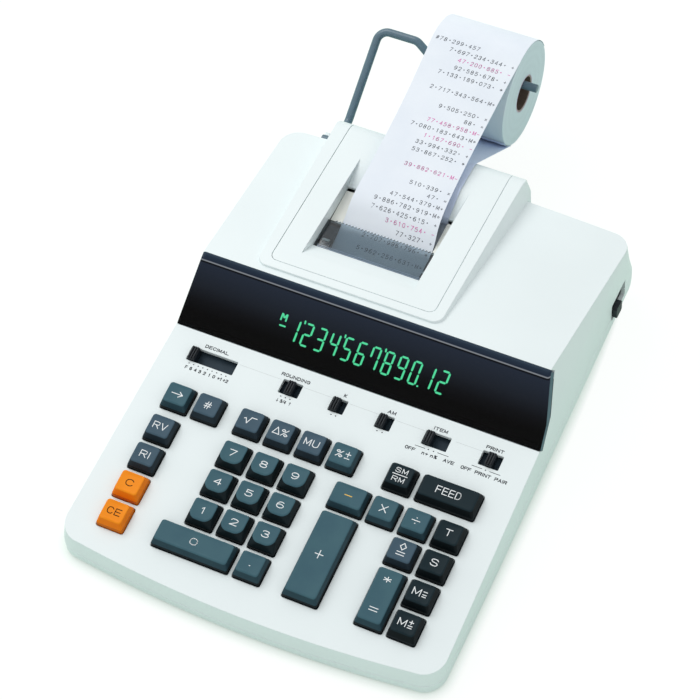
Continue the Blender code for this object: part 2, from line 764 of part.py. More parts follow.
def build_deck_openings():
    """Openings for the keys and sliders, in the deck's frame."""
    depth = (-CASE_WALL - OVERRUN / 2, OVERRUN)
    ranges = []
    for name, column, row, wider, deeper in KEY_SHARES:
        low_x, high_x, low_y, high_y = key_limits(column, row, wider, deeper)
        ranges.append(((low_x - KEY_CLEARANCE, high_x + KEY_CLEARANCE),
                       (low_y - KEY_CLEARANCE, high_y + KEY_CLEARANCE), depth))
    for name, centre_share, stops, rest in SLIDER_SHARES:
        low_x, high_x = slot_limits(centre_share, stops)
        ranges.append(((low_x, high_x), (slot_front, slot_front + SLOT_WIDTH), depth))
    return boxes("deck_openings", ranges, matrix=deck_matrix())


def key_limits(column, row, wider, deeper):
    """A key's edges in the deck's frame: left, right, front and rear."""
    right = key_block_left + KEY_WIDTH + column * KEY_PITCH
    front = FRONT_MARGIN + row * ROW_PITCH
    left = right - KEY_WIDTH - wider * KEY_PITCH
    rear = front + KEY_DEPTH + deeper * ROW_PITCH
    return left, right, front, rear


def slot_limits(centre_share, stops):
    """A slider slot's left and right ends."""
    length = SLIDER_LENGTH + 2 * SLIDER_END_GAP + (stops - 1) * SLIDER_STEP
    centre = key_block_left + centre_share * key_block_width
    return centre - length / 2, centre + length / 2


def build_top_case(shapes):
    case = lofted("top_case", upper_rings(0.0, GAP / 2), materials["white"])
    cut(case, shapes["outer_top"], "INTERSECT")
    cut(case, shapes["hood"], "UNION")
    cut(case, shapes["hollow"])
    cut(case, shapes["hood_hollow"])
    wide = half_width + OVERRUN
    cut(case, side_outline("window_notch", window_outline(GAP), -wide, wide))
    reach = (-WINDOW_THICKNESS - WINDOW_SHELF - OVERRUN, 0)
    spans = ((-APERTURE_WIDTH / 2, APERTURE_WIDTH / 2), (APERTURE_LOW, APERTURE_LOW + APERTURE_HEIGHT), reach)
    cut(case, boxes("display_aperture", [spans], matrix=band_matrix()))
    cut(case, build_deck_openings())
    cut(case, cover_plan("cover_opening", 0.0))
    cut(case, shapes["power"])
    add_arm_ear(case)
    depth = rear_wall_depth(GLAND_X)
    hole = gland_matrix(depth)
    clear = GLAND_RADIUS + GAP
    cut(case, rods("gland_hole", [(0, 0, -OVERRUN, OVERRUN, clear)], ROUND_STEPS, matrix=hole))


def rear_wall_depth(x):
    """Depth of the rear wall's outer face at the gland's height."""
    rear = case_rear - REAR_DRAFT * GLAND_ABOVE_PARTING
    return rear - REAR_BOW * (x / half_width) ** 2


def gland_matrix(depth):
    """The gland's frame, with its Z axis out of the rear wall."""
    centre = place(GLAND_X, depth, parting(depth) + GLAND_ABOVE_PARTING)
    return Matrix.Translation(centre) @ Matrix.Rotation(-math.pi / 2, 4, "X")


def cover_spans(gap):
    """The cover opening's sides and front, shrunk by a gap."""
    half = HOOD_HALF_WIDTH - COVER_MARGIN
    left = HOOD_CENTRE_X - half + gap
    right = HOOD_CENTRE_X + half - gap
    front = hood_front + COVER_FRONT_MARGIN + gap
    return left, right, front


def cover_side():
    """The cover's side view: its front and side skirts, and a longer one down the rear wall."""
    front = cover_spans(GAP)[2]
    rear = hood_rear + OVERRUN
    high = hood_height + OVERRUN
    skirt = hood_height - COVER_SKIRT
    rear_skirt = hood_height - COVER_REAR_SKIRT + GAP
    step = hood_rear - CASE_WALL * 2
    return [(front, high), (front, skirt), (step, skirt), (step, rear_skirt), (rear, rear_skirt),
            (rear, high)]


def cover_plan(name, gap):
    """The cover seen from above, shrunk by a gap, as a block with round front corners."""
    left, right, front = cover_spans(gap)
    rear = hood_rear + OVERRUN
    low = hood_height - COVER_REAR_SKIRT + gap
    high = hood_height + OVERRUN
    corner = COVER_CORNER - gap
    quarter = math.pi / 2
    near = front + corner
    outline = arc((left + corner, near), corner, -2 * quarter, -quarter, OUTLINE_STEPS)
    outline += arc((right - corner, near), corner, -quarter, 0.0, OUTLINE_STEPS)
    outline += [(right, rear), (left, rear)]
    matrix = Matrix.Translation(place(0, 0, (low + high) / 2))
    return flat_outline(name, outline, high - low, matrix=matrix)


def add_arm_ear(case):
    """The ear on the rear wall that holds the arm's stub, with its bore."""
    radius = WIRE_RADIUS + GAP + EAR_WALL
    high = ARM_SIDE_X - WIRE_RADIUS - GAP
    low = high - EAR_THICKNESS
    foot = plateau_rear.x - CASE_WALL / 2
    quarter = math.pi / 2
    outline = arc(arm_pivot, radius, -quarter, quarter, OUTLINE_STEPS * 2)
    outline += [(foot, arm_pivot.y + radius), (foot, arm_pivot.y - radius)]
    cut(case, side_outline("arm_ear", outline, low, high), "UNION")
    bore = Matrix.Translation(place(high, arm_pivot.x, arm_pivot.y))
    bore = bore @ Matrix.Rotation(math.pi / 2, 4, "Y")
    clear = WIRE_RADIUS + GAP
    reach = EAR_THICKNESS * 2
    cut(case, rods("arm_ear_bore", [(0, 0, -reach, reach, clear)], ROUND_STEPS, matrix=bore))


def build_bottom_case(shapes):
    rings = []
    hollow_rings = [case_ring(OVERRUN, CASE_WALL)]
    for height_share, tuck_share in PAN_TUCK_SHARES:
        height = -PAN_HEIGHT * height_share
        tuck = PAN_TUCK * tuck_share
        rings.append(case_ring(height - GAP / 2, 0.0, tuck))
        hollow_rings.append(case_ring(height, CASE_WALL, tuck))
    pan = lofted("bottom_case", rings, materials["white"])
    wide = half_width + OVERRUN
    span_y = (place(0, front_depth - OVERRUN, 0).y, place(0, case_rear + OVERRUN, 0).y)
    high = hood_height
    floor = FOOT_HEIGHT + CASE_WALL
    cut(pan, boxes("pan_limits", [((-wide, wide), span_y, (FOOT_HEIGHT, high))]), "INTERSECT")
    hollow = lofted("pan_hollow", hollow_rings)
    cut(hollow, boxes("pan_floor", [((-wide, wide), span_y, (floor, high))]), "INTERSECT")
    cut(pan, hollow)
    cut(pan, shapes["power"])
    posts = board_posts(floor) + frame_posts(floor)
    cut(pan, rods("posts", posts, ROUND_STEPS // 3), "UNION")
    recesses = [(x, y, FOOT_HEIGHT - OVERRUN, FOOT_HEIGHT + FOOT_RECESS, FOOT_RADIUS + GAP)
                for x, y in foot_places()]
    cut(pan, rods("foot_recesses", recesses, ROUND_STEPS))


def board_limits():
    """The keyboard's board in the deck's frame: half width, front and rear."""
    half = key_block_width / 2 + BOARD_MARGIN
    return half, BOARD_FRONT, slot_front + SLOT_WIDTH + BOARD_REAR


def board_posts(floor):
    """Posts from the floor of the pan to the board, each as high as the board is at its front."""
    half, front, rear = board_limits()
    posts = []
    low = -board_below - BOARD_THICKNESS - GAP
    inset = POST_RADIUS * 2
    for along in (front + inset, (front + rear) / 2, rear - inset):
        point = deck_matrix() @ Vector((0, along - POST_RADIUS, low))
        for x in (inset - half, 0, half - inset):
            posts.append((x, point.y + POST_RADIUS, floor - CASE_WALL / 2, point.z, POST_RADIUS))
    return posts


def frame_limits():
    """The printer frame's outer faces: left, right, front and rear."""
    left = PAPER_CENTRE_X - frame_half_width
    right = PAPER_CENTRE_X + frame_half_width
    front = hood_front + FRAME_FRONT_SETBACK
    return left, right, front, front + FRAME_LENGTH


def frame_posts(floor):
    """Posts under the corners of the printer frame."""
    left, right, front, rear = frame_limits()
    inset = POST_RADIUS * 2
    high = FRAME_BASE_HEIGHT - GAP
    posts = []
    for x in (left + inset, right - inset):
        for depth in (front + inset, rear - inset):
            point = place(x, depth, 0)
            posts.append((point.x, point.y, floor - CASE_WALL / 2, high, POST_RADIUS))
    return posts


def foot_places():
    """The feet's centres on the table."""
    places = []
    for depth in (FOOT_FRONT_MARGIN, case_rear - FOOT_REAR_MARGIN):
        for side in (-1, 1):
            point = place(side * (half_width - FOOT_SIDE_MARGIN), depth, 0)
            places.append((point.x, point.y))
    return places


def build_feet():
    top = FOOT_HEIGHT + FOOT_RECESS - GAP
    names = ("foot_front_left", "foot_front_right", "foot_rear_left", "foot_rear_right")
    for name, (x, y) in zip(names, foot_places()):
        rods(name, [(0, 0, 0, top, FOOT_RADIUS)], ROUND_STEPS, materials["rubber"],
             Matrix.Translation((x, y, 0)))


def build_display():
    wide = half_width + OVERRUN
    window = side_outline("display_window", window_outline(0.0), -wide, wide, materials["smoked"])
    cut(window, lofted("window_ends", upper_rings(0.0, 0.0)), "INTERSECT")
    front = -WINDOW_THICKNESS - WINDOW_SHELF - GAP * 2
    half = APERTURE_WIDTH / 2 + TUBE_MARGIN
    height = APERTURE_HEIGHT + TUBE_MARGIN * 2
    along = APERTURE_LOW - TUBE_MARGIN
    spans = ((-half, half), (along, along + height), (front - TUBE_THICKNESS, front))
    boxes("display_tube", [spans], materials["tube"], band_matrix())


def build_keys(deck):
    for name, column, row, wider, deeper in KEY_SHARES:
        left, right, front, rear = key_limits(column, row, wider, deeper)
        half_x = (right - left) / 2
        half_y = (rear - front) / 2
        catch = KEY_CLEARANCE + KEY_CATCH
        catch_top = -CASE_WALL - GAP
        levels = (
            (catch_top - KEY_CATCH_HEIGHT, -catch, -catch, -catch),
            (catch_top, -catch, -catch, -catch),
            (catch_top, 0, 0, 0),
            (KEY_SHOULDER, 0, 0, 0),
            (KEY_HEIGHT, KEY_SIDE_INSET, KEY_FRONT_INSET, KEY_REAR_INSET),
        )
        rings = []
        for height, side, near, far in levels:
            outline = rounded(side - half_x, half_x - side, near - half_y, half_y - far, KEY_CORNER)
            rings.append([(x, y, height) for x, y in outline])
        material = materials["slate"]
        if name in ORANGE_KEYS:
            material = materials["orange"]
        elif name in PURPLE_KEYS:
            material = materials["purple"]
        elif name in DARK_KEYS:
            material = materials["dark"]
        key = lofted(name, rings, material)
        key.parent = deck
        key.location = ((left + right) / 2, (front + rear) / 2, 0)


def build_sliders(deck):
    catch_top = -CASE_WALL - GAP
    for name, centre_share, stops, rest in SLIDER_SHARES:
        low_x, high_x = slot_limits(centre_share, stops)
        x = low_x + SLIDER_END_GAP + SLIDER_LENGTH / 2 + rest * SLIDER_STEP
        half_x = SLIDER_LENGTH / 2
        half_y = SLOT_WIDTH / 2 - GAP
        levels = (
            (catch_top - SLIDER_CATCH_HEIGHT, SLIDER_CATCH),
            (catch_top, SLIDER_CATCH),
            (catch_top, 0),
            (SLIDER_HEIGHT, 0),
        )
        rings = []
        for height, spread in levels:
            outline = rounded(-half_x - spread, half_x + spread, -half_y - spread, half_y + spread,
                              KEY_CORNER / 2, 1)
            rings.append([(px, py, height) for px, py in outline])
        slider = lofted(name, rings, materials["black"])
        slider.parent = deck
        slider.location = (x, slot_front + SLOT_WIDTH / 2, 0)


def build_power_slider():
    start = case_rear - POWER_SETBACK
    near = start + POWER_END_GAP
    far = near + POWER_KNOB_LENGTH
    low = POWER_SLOT_BOTTOM + (POWER_SLOT_HEIGHT - POWER_KNOB_HEIGHT) / 2
    high = low + POWER_KNOB_HEIGHT
    outer = half_width - SIDE_TAPER * start + POWER_KNOB_REACH
    wall = outer - POWER_KNOB_REACH - CASE_WALL - POWER_INSET
    levels = (
        (wall - POWER_CATCH, POWER_CATCH_EXTRA, POWER_CATCH_RISE),
        (wall, POWER_CATCH_EXTRA, POWER_CATCH_RISE),
        (wall, 0, 0),
        (outer, 0, 0),
    )
    rings = []
    for x, spread_y, spread_z in levels:
        outline = rounded(near - spread_y, far + spread_y, low - spread_z, high + spread_z,
                          KEY_CORNER, 1)
        rings.append([place(x, depth, height) for depth, height in outline])
    lofted("power_slider", rings, materials["black"])


def build_board():
    half, front, rear = board_limits()
    top = -board_below
    spans = ((-half, half), (front, rear), (top - BOARD_THICKNESS, top))
    boxes("key_board", [spans], materials["board"], deck_matrix())


def build_cover():
    left, right, front = cover_spans(GAP)
    cover = lofted("printer_cover", hood_rings(0.0, hood_height - HOOD_RISE), materials["white"])
    half = HOOD_HALF_WIDTH * 2
    low_x = HOOD_CENTRE_X - half
    high_x = HOOD_CENTRE_X + half
    cut(cover, side_outline("cover_top", hood_outline(0.0), low_x, high_x), "INTERSECT")
    cut(cover, side_outline("cover_limits", cover_side(), low_x, high_x), "INTERSECT")
    cut(cover, cover_plan("cover_sides", GAP), "INTERSECT")
    inner = hood_outline(COVER_WALL)
    start = front + COVER_WALL
    inner[-1] = (start, inner[-1][1])
    inner[-2] = (start, hood_top(start) - COVER_WALL)
    hollow = side_outline("cover_hollow", inner, left + COVER_WALL, right - COVER_WALL)
    cut(cover, hollow)
    tub_left = PAPER_CENTRE_X - WINDOW_HALF_WIDTH - WINDOW_LEFT_EXTRA - TUB_WALL
    tub_right = PAPER_CENTRE_X + WINDOW_HALF_WIDTH + TUB_WALL
    cut(cover, side_outline("cover_tub", tub_outline(), tub_left, tub_right), "UNION")
    cut(cover, side_outline("paper_recess", recess_outline(), tub_left + TUB_WALL,
                            tub_right - TUB_WALL))


def tub_outline():
    """The side view of the walls that hang round the paper window."""
    under = COVER_WALL / 2
    floor = hood_top(window_rear) - RAMP_DEPTH - TUB_WALL
    return [
        (window_front - TUB_WALL, hood_top(window_front) - under),
        (window_open - TUB_WALL, hood_top(window_open) - WINDOW_DEPTH - TUB_WALL),
        (window_open, floor),
        (window_rear + TUB_WALL, floor),
        (ramp_rear, hood_top(ramp_rear) - COVER_WALL - TUB_WALL / 2),
        (ramp_rear + TUB_WALL, hood_top(ramp_rear) - under),
    ]


def recess_outline():
    """The side view of the paper window's recess, its through opening and its ramp."""
    high = hood_height + OVERRUN
    low = hood_height - OVERRUN * 2
    return [
        (window_front, high),
        (window_front, hood_top(window_front)),
        (window_open, hood_top(window_open) - WINDOW_DEPTH),
        (window_open, low),
        (window_rear, low),
        (window_rear, hood_top(window_rear) - RAMP_DEPTH),
        (ramp_rear, hood_top(ramp_rear)),
        (ramp_rear, high),
    ]


def build_tear_bar():
    """A clear plate over the front of the paper window, with teeth along its rear edge."""
    half = WINDOW_HALF_WIDTH - GAP
    length = TEAR_BAR_LENGTH
    root = length - TEAR_TOOTH / 2
    left = -half - WINDOW_LEFT_EXTRA
    outline = [(left, 0), (half, 0), (half, root)]
    side = TEAR_TOOTH * TEAR_TOOTH_COUNT / 2
    for tooth in range(TEAR_TOOTH_COUNT):
        outline.append((side - TEAR_TOOTH * tooth, root))
        outline.append((side - TEAR_TOOTH * (tooth + 1 / 2), length))
    outline += [(-side, root), (left, root)]
    height = hood_top(window_open) - TEAR_BAR_DROP
    matrix = Matrix.Translation(place(PAPER_CENTRE_X, window_open + GAP, height))
    flat_outline("tear_bar", outline, TEAR_BAR_THICKNESS, materials["clear"], matrix)


def platen_centre():
    return Vector((window_open + PLATEN_BACKSET, hood_height - PLATEN_DROP))


def ledge_limits():
    """The paper ledge's front, rear and top."""
    rear = window_rear - FEED_SLOT
    return rear - LEDGE_LENGTH, rear, hood_top(rear) - LEDGE_DROP


def build_printer_frame():
    left, right, front, rear = frame_limits()
    top = hood_height - FRAME_TOP_DROP
    base = FRAME_BASE_HEIGHT
    span_y = (place(0, front, 0).y, place(0, rear, 0).y)
    wall = FRAME_WALL
    spans = [((left, right), span_y, (base, base + wall))]
    frame = boxes("printer_frame", spans, materials["steel"])
    platen = platen_centre()
    side = [(front, base + wall / 2), (rear, base + wall / 2), (rear, platen.y + PLATEN_RADIUS),
            (ledge_limits()[1] + wall, top), (front + OVERRUN, top), (front, platen.y)]
    cut(frame, side_outline("frame_left", side, left, left + wall), "UNION")
    cut(frame, side_outline("frame_right", side, right - wall, right), "UNION")
    ledge_front, ledge_rear, ledge_top = ledge_limits()
    thick = LEDGE_THICKNESS
    bend = ledge_rear - thick
    ledge = [(ledge_front, ledge_top), (ledge_front, ledge_top - thick), (bend, ledge_top - thick),
             (bend, ledge_top - thick * 4), (ledge_rear, ledge_top - thick * 4),
             (ledge_rear, ledge_top)]
    cut(frame, side_outline("frame_ledge", ledge, left + wall / 2, right - wall / 2), "UNION")
    turn = Matrix.Rotation(math.pi / 2, 4, "Y")
    rail = rail_centre()
    rail_matrix = Matrix.Translation(place(0, rail.x, rail.y)) @ turn
    rail_rod = [(0, 0, left + wall / 2, right - wall / 2, RAIL_RADIUS)]
    cut(frame, rods("frame_rail", rail_rod, ROUND_STEPS // 2, matrix=rail_matrix), "UNION")
    bore = Matrix.Translation(place(0, platen.x, platen.y)) @ turn
    clear = SHAFT_RADIUS + GAP
    hole = [(0, 0, left - OVERRUN, right + OVERRUN, clear)]
    cut(frame, rods("frame_bores", hole, ROUND_STEPS // 2, matrix=bore))


def rail_centre():
    platen = platen_centre()
    return Vector((platen.x - RAIL_AHEAD, platen.y - RAIL_DROP))


def build_platen():
    """The platen with its shaft and gear, turned about X."""
    left, right, front, rear = frame_limits()
    centre = platen_centre()
    half = PLATEN_LENGTH / 2
    out = frame_half_width + GAP
    end = out + GEAR_WIDTH
    start = -frame_half_width - FRAME_WALL
    profile = [(0, end), (GEAR_RADIUS, end), (GEAR_RADIUS, out), (SHAFT_RADIUS, out),
               (SHAFT_RADIUS, half), (PLATEN_RADIUS, half), (PLATEN_RADIUS, -half),
               (SHAFT_RADIUS, -half), (SHAFT_RADIUS, start), (0, start)]
    matrix = Matrix.Translation(place(PAPER_CENTRE_X, centre.x, centre.y))
    matrix = matrix @ Matrix.Rotation(math.pi / 2, 4, "Y")
    turned("platen_roller", profile, ROUND_STEPS, materials["rubber"], matrix)


def build_carriage():
    """The carriage on its rail, with the type wheel towards the platen."""
    rail = rail_centre()
    platen = platen_centre()
    block = CARRIAGE_BLOCK / 2
    half = CARRIAGE_WIDTH / 2
    wheel_depth = platen.x - PLATEN_RADIUS - WHEEL_GAP - WHEEL_RADIUS - rail.x
    wheel_height = platen.y - rail.y
    matrix = Matrix.Translation(place(PAPER_CENTRE_X, rail.x, rail.y))
    spans = [((-half, half), (-block, wheel_depth), (-block, block))]
    carriage = boxes("print_carriage", spans, materials["black"], matrix)
    turn = Matrix.Rotation(math.pi / 2, 4, "Y")
    wheel = matrix @ Matrix.Translation((0, wheel_depth, wheel_height)) @ turn
    width = WHEEL_WIDTH / 2
    cut(carriage, rods("type_wheel", [(0, 0, -width, width, WHEEL_RADIUS)], ROUND_STEPS,
                       matrix=wheel), "UNION")
    clear = RAIL_RADIUS + GAP
    bore = [(0, 0, -CARRIAGE_WIDTH, CARRIAGE_WIDTH, clear)]
    cut(carriage, rods("carriage_bore", bore, ROUND_STEPS // 2, matrix=matrix @ turn))


def build_ribbon():
    """The ribbon cartridge across the frame, with its two spools."""
    left, right, front, rear = frame_limits()
    platen = platen_centre()
    low = platen.y + RIBBON_LIFT
    rear_edge = platen.x - RIBBON_AHEAD + RIBBON_LENGTH / 2
    x_low = left + FRAME_WALL + GAP
    x_high = right - FRAME_WALL - GAP
    span_y = (place(0, rear_edge - RIBBON_LENGTH, 0).y, place(0, rear_edge, 0).y)
    spans = [((x_low, x_high), span_y, (low, low + RIBBON_HEIGHT - SPOOL_HEIGHT))]
    ribbon_box = boxes("ribbon_cartridge", spans, materials["black"])
    centre_y = (span_y[0] + span_y[1]) / 2
    spools = [(PAPER_CENTRE_X + side * SPOOL_SPREAD, centre_y, low + SPOOL_HEIGHT,
               low + RIBBON_HEIGHT, SPOOL_RADIUS) for side in (-1, 1)]
    cut(ribbon_box, rods("ribbon_spools", spools, ROUND_STEPS), "UNION")


def build_roll():
    """The paper roll round its core, turned about X."""
    half = PAPER_WIDTH / 2
    profile = [(ROLL_RADIUS, half), (ROLL_RADIUS, -half), (CORE_HOLE_RADIUS, -half),
               (CORE_HOLE_RADIUS, half)]
    matrix = Matrix.Translation(place(PAPER_CENTRE_X, axle_depth, roll_height))
    matrix = matrix @ Matrix.Rotation(math.pi / 2, 4, "Y")
    turned("paper_roll", profile, ROLL_STEPS, materials["paper"], matrix)


def paper_path():
    """The tape's path in (depth, height), from the roll into the case, out and over the roll."""
    roll = Vector((axle_depth, roll_height))
    wrap = ROLL_RADIUS + PAPER_GAP
    edge = Vector((hood_rear - HOOD_REAR_RADIUS, hood_top(hood_rear - HOOD_REAR_RADIUS)))
    corner = edge - Vector((0, HOOD_REAR_RADIUS))
    bend = HOOD_REAR_RADIUS + PAPER_GAP * 2
    apart = roll - corner
    lean = math.atan2(apart.y, apart.x)
    crossing = math.acos((bend + wrap) / apart.length)
    leave = lean + crossing
    under = leave - math.pi
    web = [Vector(point) for point in arc(roll, wrap, under - WEB_WRAP, under, 4)]
    web += [Vector(point) for point in arc(corner, bend, leave, math.pi / 2, 5)]
    lip = Vector((window_rear, hood_top(window_rear) - RAMP_DEPTH))
    lift = Vector((0, PAPER_GAP * 2))
    platen = platen_centre()
    hug = PLATEN_RADIUS + PAPER_GAP
    feed = Vector((window_rear - FEED_SLOT / 2, lip.y - FEED_SLOT / 2))
    web.append(Vector((ramp_rear, hood_top(ramp_rear))) + lift)
    web.append(lip + lift)
    web.append(feed)
    ledge_front, ledge_rear, ledge_top = ledge_limits()
    drop = Vector((ledge_rear + FEED_SLOT / 3, ledge_top - LEDGE_THICKNESS * 4))
    web.append(drop)
    fall = drop - platen
    meeting = math.atan2(fall.y, fall.x) - math.acos(hug / fall.length)
    around = [Vector(point) for point in arc(platen, hug, meeting, -math.pi, 10)]
    mouth_depth = (window_open + TEAR_BAR_LENGTH + ledge_front) / 2
    mouth = Vector((mouth_depth, ledge_top + FEED_SLOT / 2))
    strip_start = around[-1] + Vector((0, PLATEN_RADIUS * STRIP_START_SHARE))
    crest = Vector((ramp_rear, hood_top(ramp_rear) + STRIP_LIFT))
    to_roll = roll - crest
    touch = math.atan2(to_roll.y, to_roll.x) + math.asin(wrap / to_roll.length) + math.pi / 2
    path = [strip_start, mouth]
    climb = mouth + (crest - mouth) * STRIP_CLIMB_SHARE + Vector((0, STRIP_LIFT))
    path.append(climb)
    path.append(crest)
    landing = roll + Vector((math.cos(touch), math.sin(touch))) * wrap
    path.append((crest + landing) / 2 - Vector((0, STRIP_SAG)))
    strip = smooth(path + [landing], 4)[:-1]
    top = [Vector(point) for point in arc(roll, wrap, touch, STRIP_END_ANGLE, 10)]
    return web + around + strip + top


def build_tape():
    half = PAPER_WIDTH / 2
    outline = ribbon(paper_path(), PAPER_THICKNESS)
    side_outline("paper_tape", outline, PAPER_CENTRE_X - half, PAPER_CENTRE_X + half,
                 materials["paper"])


def rounded_path(points, radius, steps):
    """A route through points whose corners are arcs."""
    path = [points[0]]
    for before, corner, after in zip(points, points[1:], points[2:]):
        back = (before - corner).normalized()
        ahead = (after - corner).normalized()
        angle = back.angle(ahead)
        shorter = min((before - corner).length, (after - corner).length)
        reach = min(radius / math.tan(angle / 2), shorter * BEND_SHARE)
        bend = reach * math.tan(angle / 2)
        axis = (back + ahead).normalized()
        centre = corner + axis * (bend / math.sin(angle / 2))
        start = corner + back * reach - centre
        end = corner + ahead * reach - centre
        turn = start.angle(end)
        for step in range(steps + 1):
            share = step / steps
            path.append(centre + (start * math.sin(turn * (1 - share))
                                  + end * math.sin(turn * share)) / math.sin(turn))
    path.append(points[-1])
    return path


def build_arm():
    """The wire arm, from its stub in the ear to the axle that carries the roll."""
    pivot = arm_pivot
    stub_x = ARM_SIDE_X - ARM_STUB

    def spot(x, reach, rise):
        return Vector((x - stub_x, reach, rise))

    route = [
        spot(stub_x, 0, 0),
        spot(ARM_SIDE_X, 0, 0),
        spot(ARM_SIDE_X, ARM_BEND_REACH, -ARM_BEND_DROP),
        spot(ARM_SIDE_X, ARM_TOP_REACH, ARM_TOP_RISE),
        spot(ARM_JOG_OUTER_X, ARM_TOP_REACH, ARM_TOP_RISE),
        spot(ARM_JOG_INNER_X, ARM_AXLE_REACH, ARM_AXLE_RISE),
        spot(ARM_TIP_X, ARM_AXLE_REACH, ARM_AXLE_RISE),
    ]
    curve = bpy.data.curves.new("paper_arm", "CURVE")
    curve.dimensions = "3D"
    curve.bevel_depth = WIRE_RADIUS
    curve.bevel_resolution = 2
    curve.use_fill_caps = True
    path = rounded_path(route, ARM_BEND_RADIUS, 4)
    spline = curve.splines.new("POLY")
    spline.points.add(len(path) - 1)
    for point, place_in_path in zip(spline.points, path):
        point.co = (*place_in_path, 1)
    item = bpy.data.objects.new("paper_arm", curve)
    cutters.objects.link(item)
    matrix = Matrix.Translation(place(stub_x, pivot.x, pivot.y))
    arm = add_mesh("paper_arm", mesh_from_curve(item), materials["wire"], matrix)
    arm.data.shade_smooth()


def build_transformer():
    """The mains transformer on the floor of the pan: plate, core and coil."""
    x = half_width - TRANSFORMER_SIDE - TRANSFORMER_WIDTH / 2
    depth = hood_front + TRANSFORMER_SETBACK + TRANSFORMER_DEPTH / 2
    floor = FOOT_HEIGHT + CASE_WALL + GAP
    half_x = TRANSFORMER_WIDTH / 2
    half_y = TRANSFORMER_DEPTH / 2
    coil = TRANSFORMER_COIL_INSET
    core_top = floor + TRANSFORMER_PLATE + TRANSFORMER_CORE
    levels = (
        (floor, -TRANSFORMER_TAB, 0),
        (floor + TRANSFORMER_PLATE, -TRANSFORMER_TAB, 0),
        (floor + TRANSFORMER_PLATE, 0, 0),
        (core_top, 0, 0),
        (core_top, coil, coil / 2),
        (core_top + TRANSFORMER_COIL, coil, coil / 2),
    )
    rings = []
    for height, inset_x, inset_y in levels:
        outline = rounded(inset_x - half_x, half_x - inset_x, inset_y - half_y, half_y - inset_y,
                          KEY_CORNER, 1)
        rings.append([(px, py, height) for px, py in outline])
    lofted("transformer", rings, materials["steel"], Matrix.Translation(place(x, depth, 0)))


def build_gland():
    """The rubber bush where the mains cord enters the rear wall."""
    depth = rear_wall_depth(GLAND_X)
    neck = GLAND_RADIUS
    flange = GLAND_RADIUS + GLAND_FLANGE
    wall = CASE_WALL + GAP * 2
    lip = REAR_DRAFT * flange
    inside = -wall - lip
    profile = [
        (neck, GLAND_OUTSIDE), (neck, lip + GLAND_FLANGE), (flange, lip + GLAND_FLANGE),
        (flange, lip), (neck, lip), (neck, inside), (flange, inside),
        (flange, inside - GLAND_FLANGE), (neck, inside - GLAND_FLANGE),
        (GLAND_BORE, inside - GLAND_INSIDE), (GLAND_BORE, GLAND_OUTSIDE),
    ]
    turned("cord_gland", profile, ROUND_STEPS // 2, materials["rubber"], gland_matrix(depth))


for item in list(bpy.data.objects):
    bpy.data.objects.remove(item)
parts = new_collection("printing_calculator")
cutters = new_collection("cutters")
materials = {
    "white": new_material("white_plastic", WHITE_PLASTIC, 0.4),
    "smoked": new_material("smoked_window", SMOKED_PLASTIC, 0.08),
    "clear": new_material("clear_smoke", CLEAR_SMOKE, 0.1, alpha=0.5),
    "slate": new_material("slate_keys", SLATE_PLASTIC, 0.45),
    "purple": new_material("purple_keys", PURPLE_PLASTIC, 0.45),
    "dark": new_material("dark_keys", DARK_PLASTIC, 0.45),
    "orange": new_material("orange_keys", ORANGE_PLASTIC, 0.45),
    "black": new_material("black_plastic", BLACK_PLASTIC, 0.4),
    "rubber": new_material("black_rubber", BLACK_RUBBER, 0.8),
    "steel": new_material("grey_steel", GREY_STEEL, 0.4, 0.9),
    "wire": new_material("blue_steel", BLUE_STEEL, 0.35, 0.2),
    "paper": new_material("white_paper", WHITE_PAPER, 0.8),
    "board": new_material("green_board", GREEN_BOARD, 0.5),
    "tube": new_material("tube_glass", TUBE_GLASS, 0.1),
}
deck_frame = bpy.data.objects.new("deck_frame", None)
parts.objects.link(deck_frame)
deck_frame.matrix_world = deck_matrix()

case_shapes = build_case_cutters()
build_top_case(case_shapes)
build_bottom_case(case_shapes)
build_feet()
build_display()
build_keys(deck_frame)
build_sliders(deck_frame)
build_power_slider()
build_board()
build_cover()
build_tear_bar()
build_printer_frame()
build_platen()
build_carriage()
build_ribbon()
build_arm()
build_roll()
build_tape()
build_transformer()
build_gland()
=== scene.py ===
import math
import random

import bmesh
import bpy
from mathutils import Matrix, Vector


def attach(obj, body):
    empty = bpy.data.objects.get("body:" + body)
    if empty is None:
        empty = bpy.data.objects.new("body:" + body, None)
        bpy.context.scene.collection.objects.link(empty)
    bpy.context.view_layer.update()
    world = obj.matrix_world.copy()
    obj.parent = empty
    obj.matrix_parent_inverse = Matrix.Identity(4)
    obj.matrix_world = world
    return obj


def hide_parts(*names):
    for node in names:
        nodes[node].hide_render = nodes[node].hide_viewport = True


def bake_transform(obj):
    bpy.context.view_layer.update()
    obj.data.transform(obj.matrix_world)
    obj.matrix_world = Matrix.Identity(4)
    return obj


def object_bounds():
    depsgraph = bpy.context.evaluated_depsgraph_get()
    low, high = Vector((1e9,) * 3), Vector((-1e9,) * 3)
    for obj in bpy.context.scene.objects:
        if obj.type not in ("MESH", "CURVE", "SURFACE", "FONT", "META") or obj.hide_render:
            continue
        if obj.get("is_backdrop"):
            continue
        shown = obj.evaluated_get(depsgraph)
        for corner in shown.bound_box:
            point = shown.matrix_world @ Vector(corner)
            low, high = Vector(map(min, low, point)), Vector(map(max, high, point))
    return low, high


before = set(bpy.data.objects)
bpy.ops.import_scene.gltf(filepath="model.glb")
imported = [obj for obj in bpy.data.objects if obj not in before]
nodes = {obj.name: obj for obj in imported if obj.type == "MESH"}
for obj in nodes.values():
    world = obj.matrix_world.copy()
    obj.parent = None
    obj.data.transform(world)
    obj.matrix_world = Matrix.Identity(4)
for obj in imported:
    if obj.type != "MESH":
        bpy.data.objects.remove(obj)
cadLow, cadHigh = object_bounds()
mm = 0.001
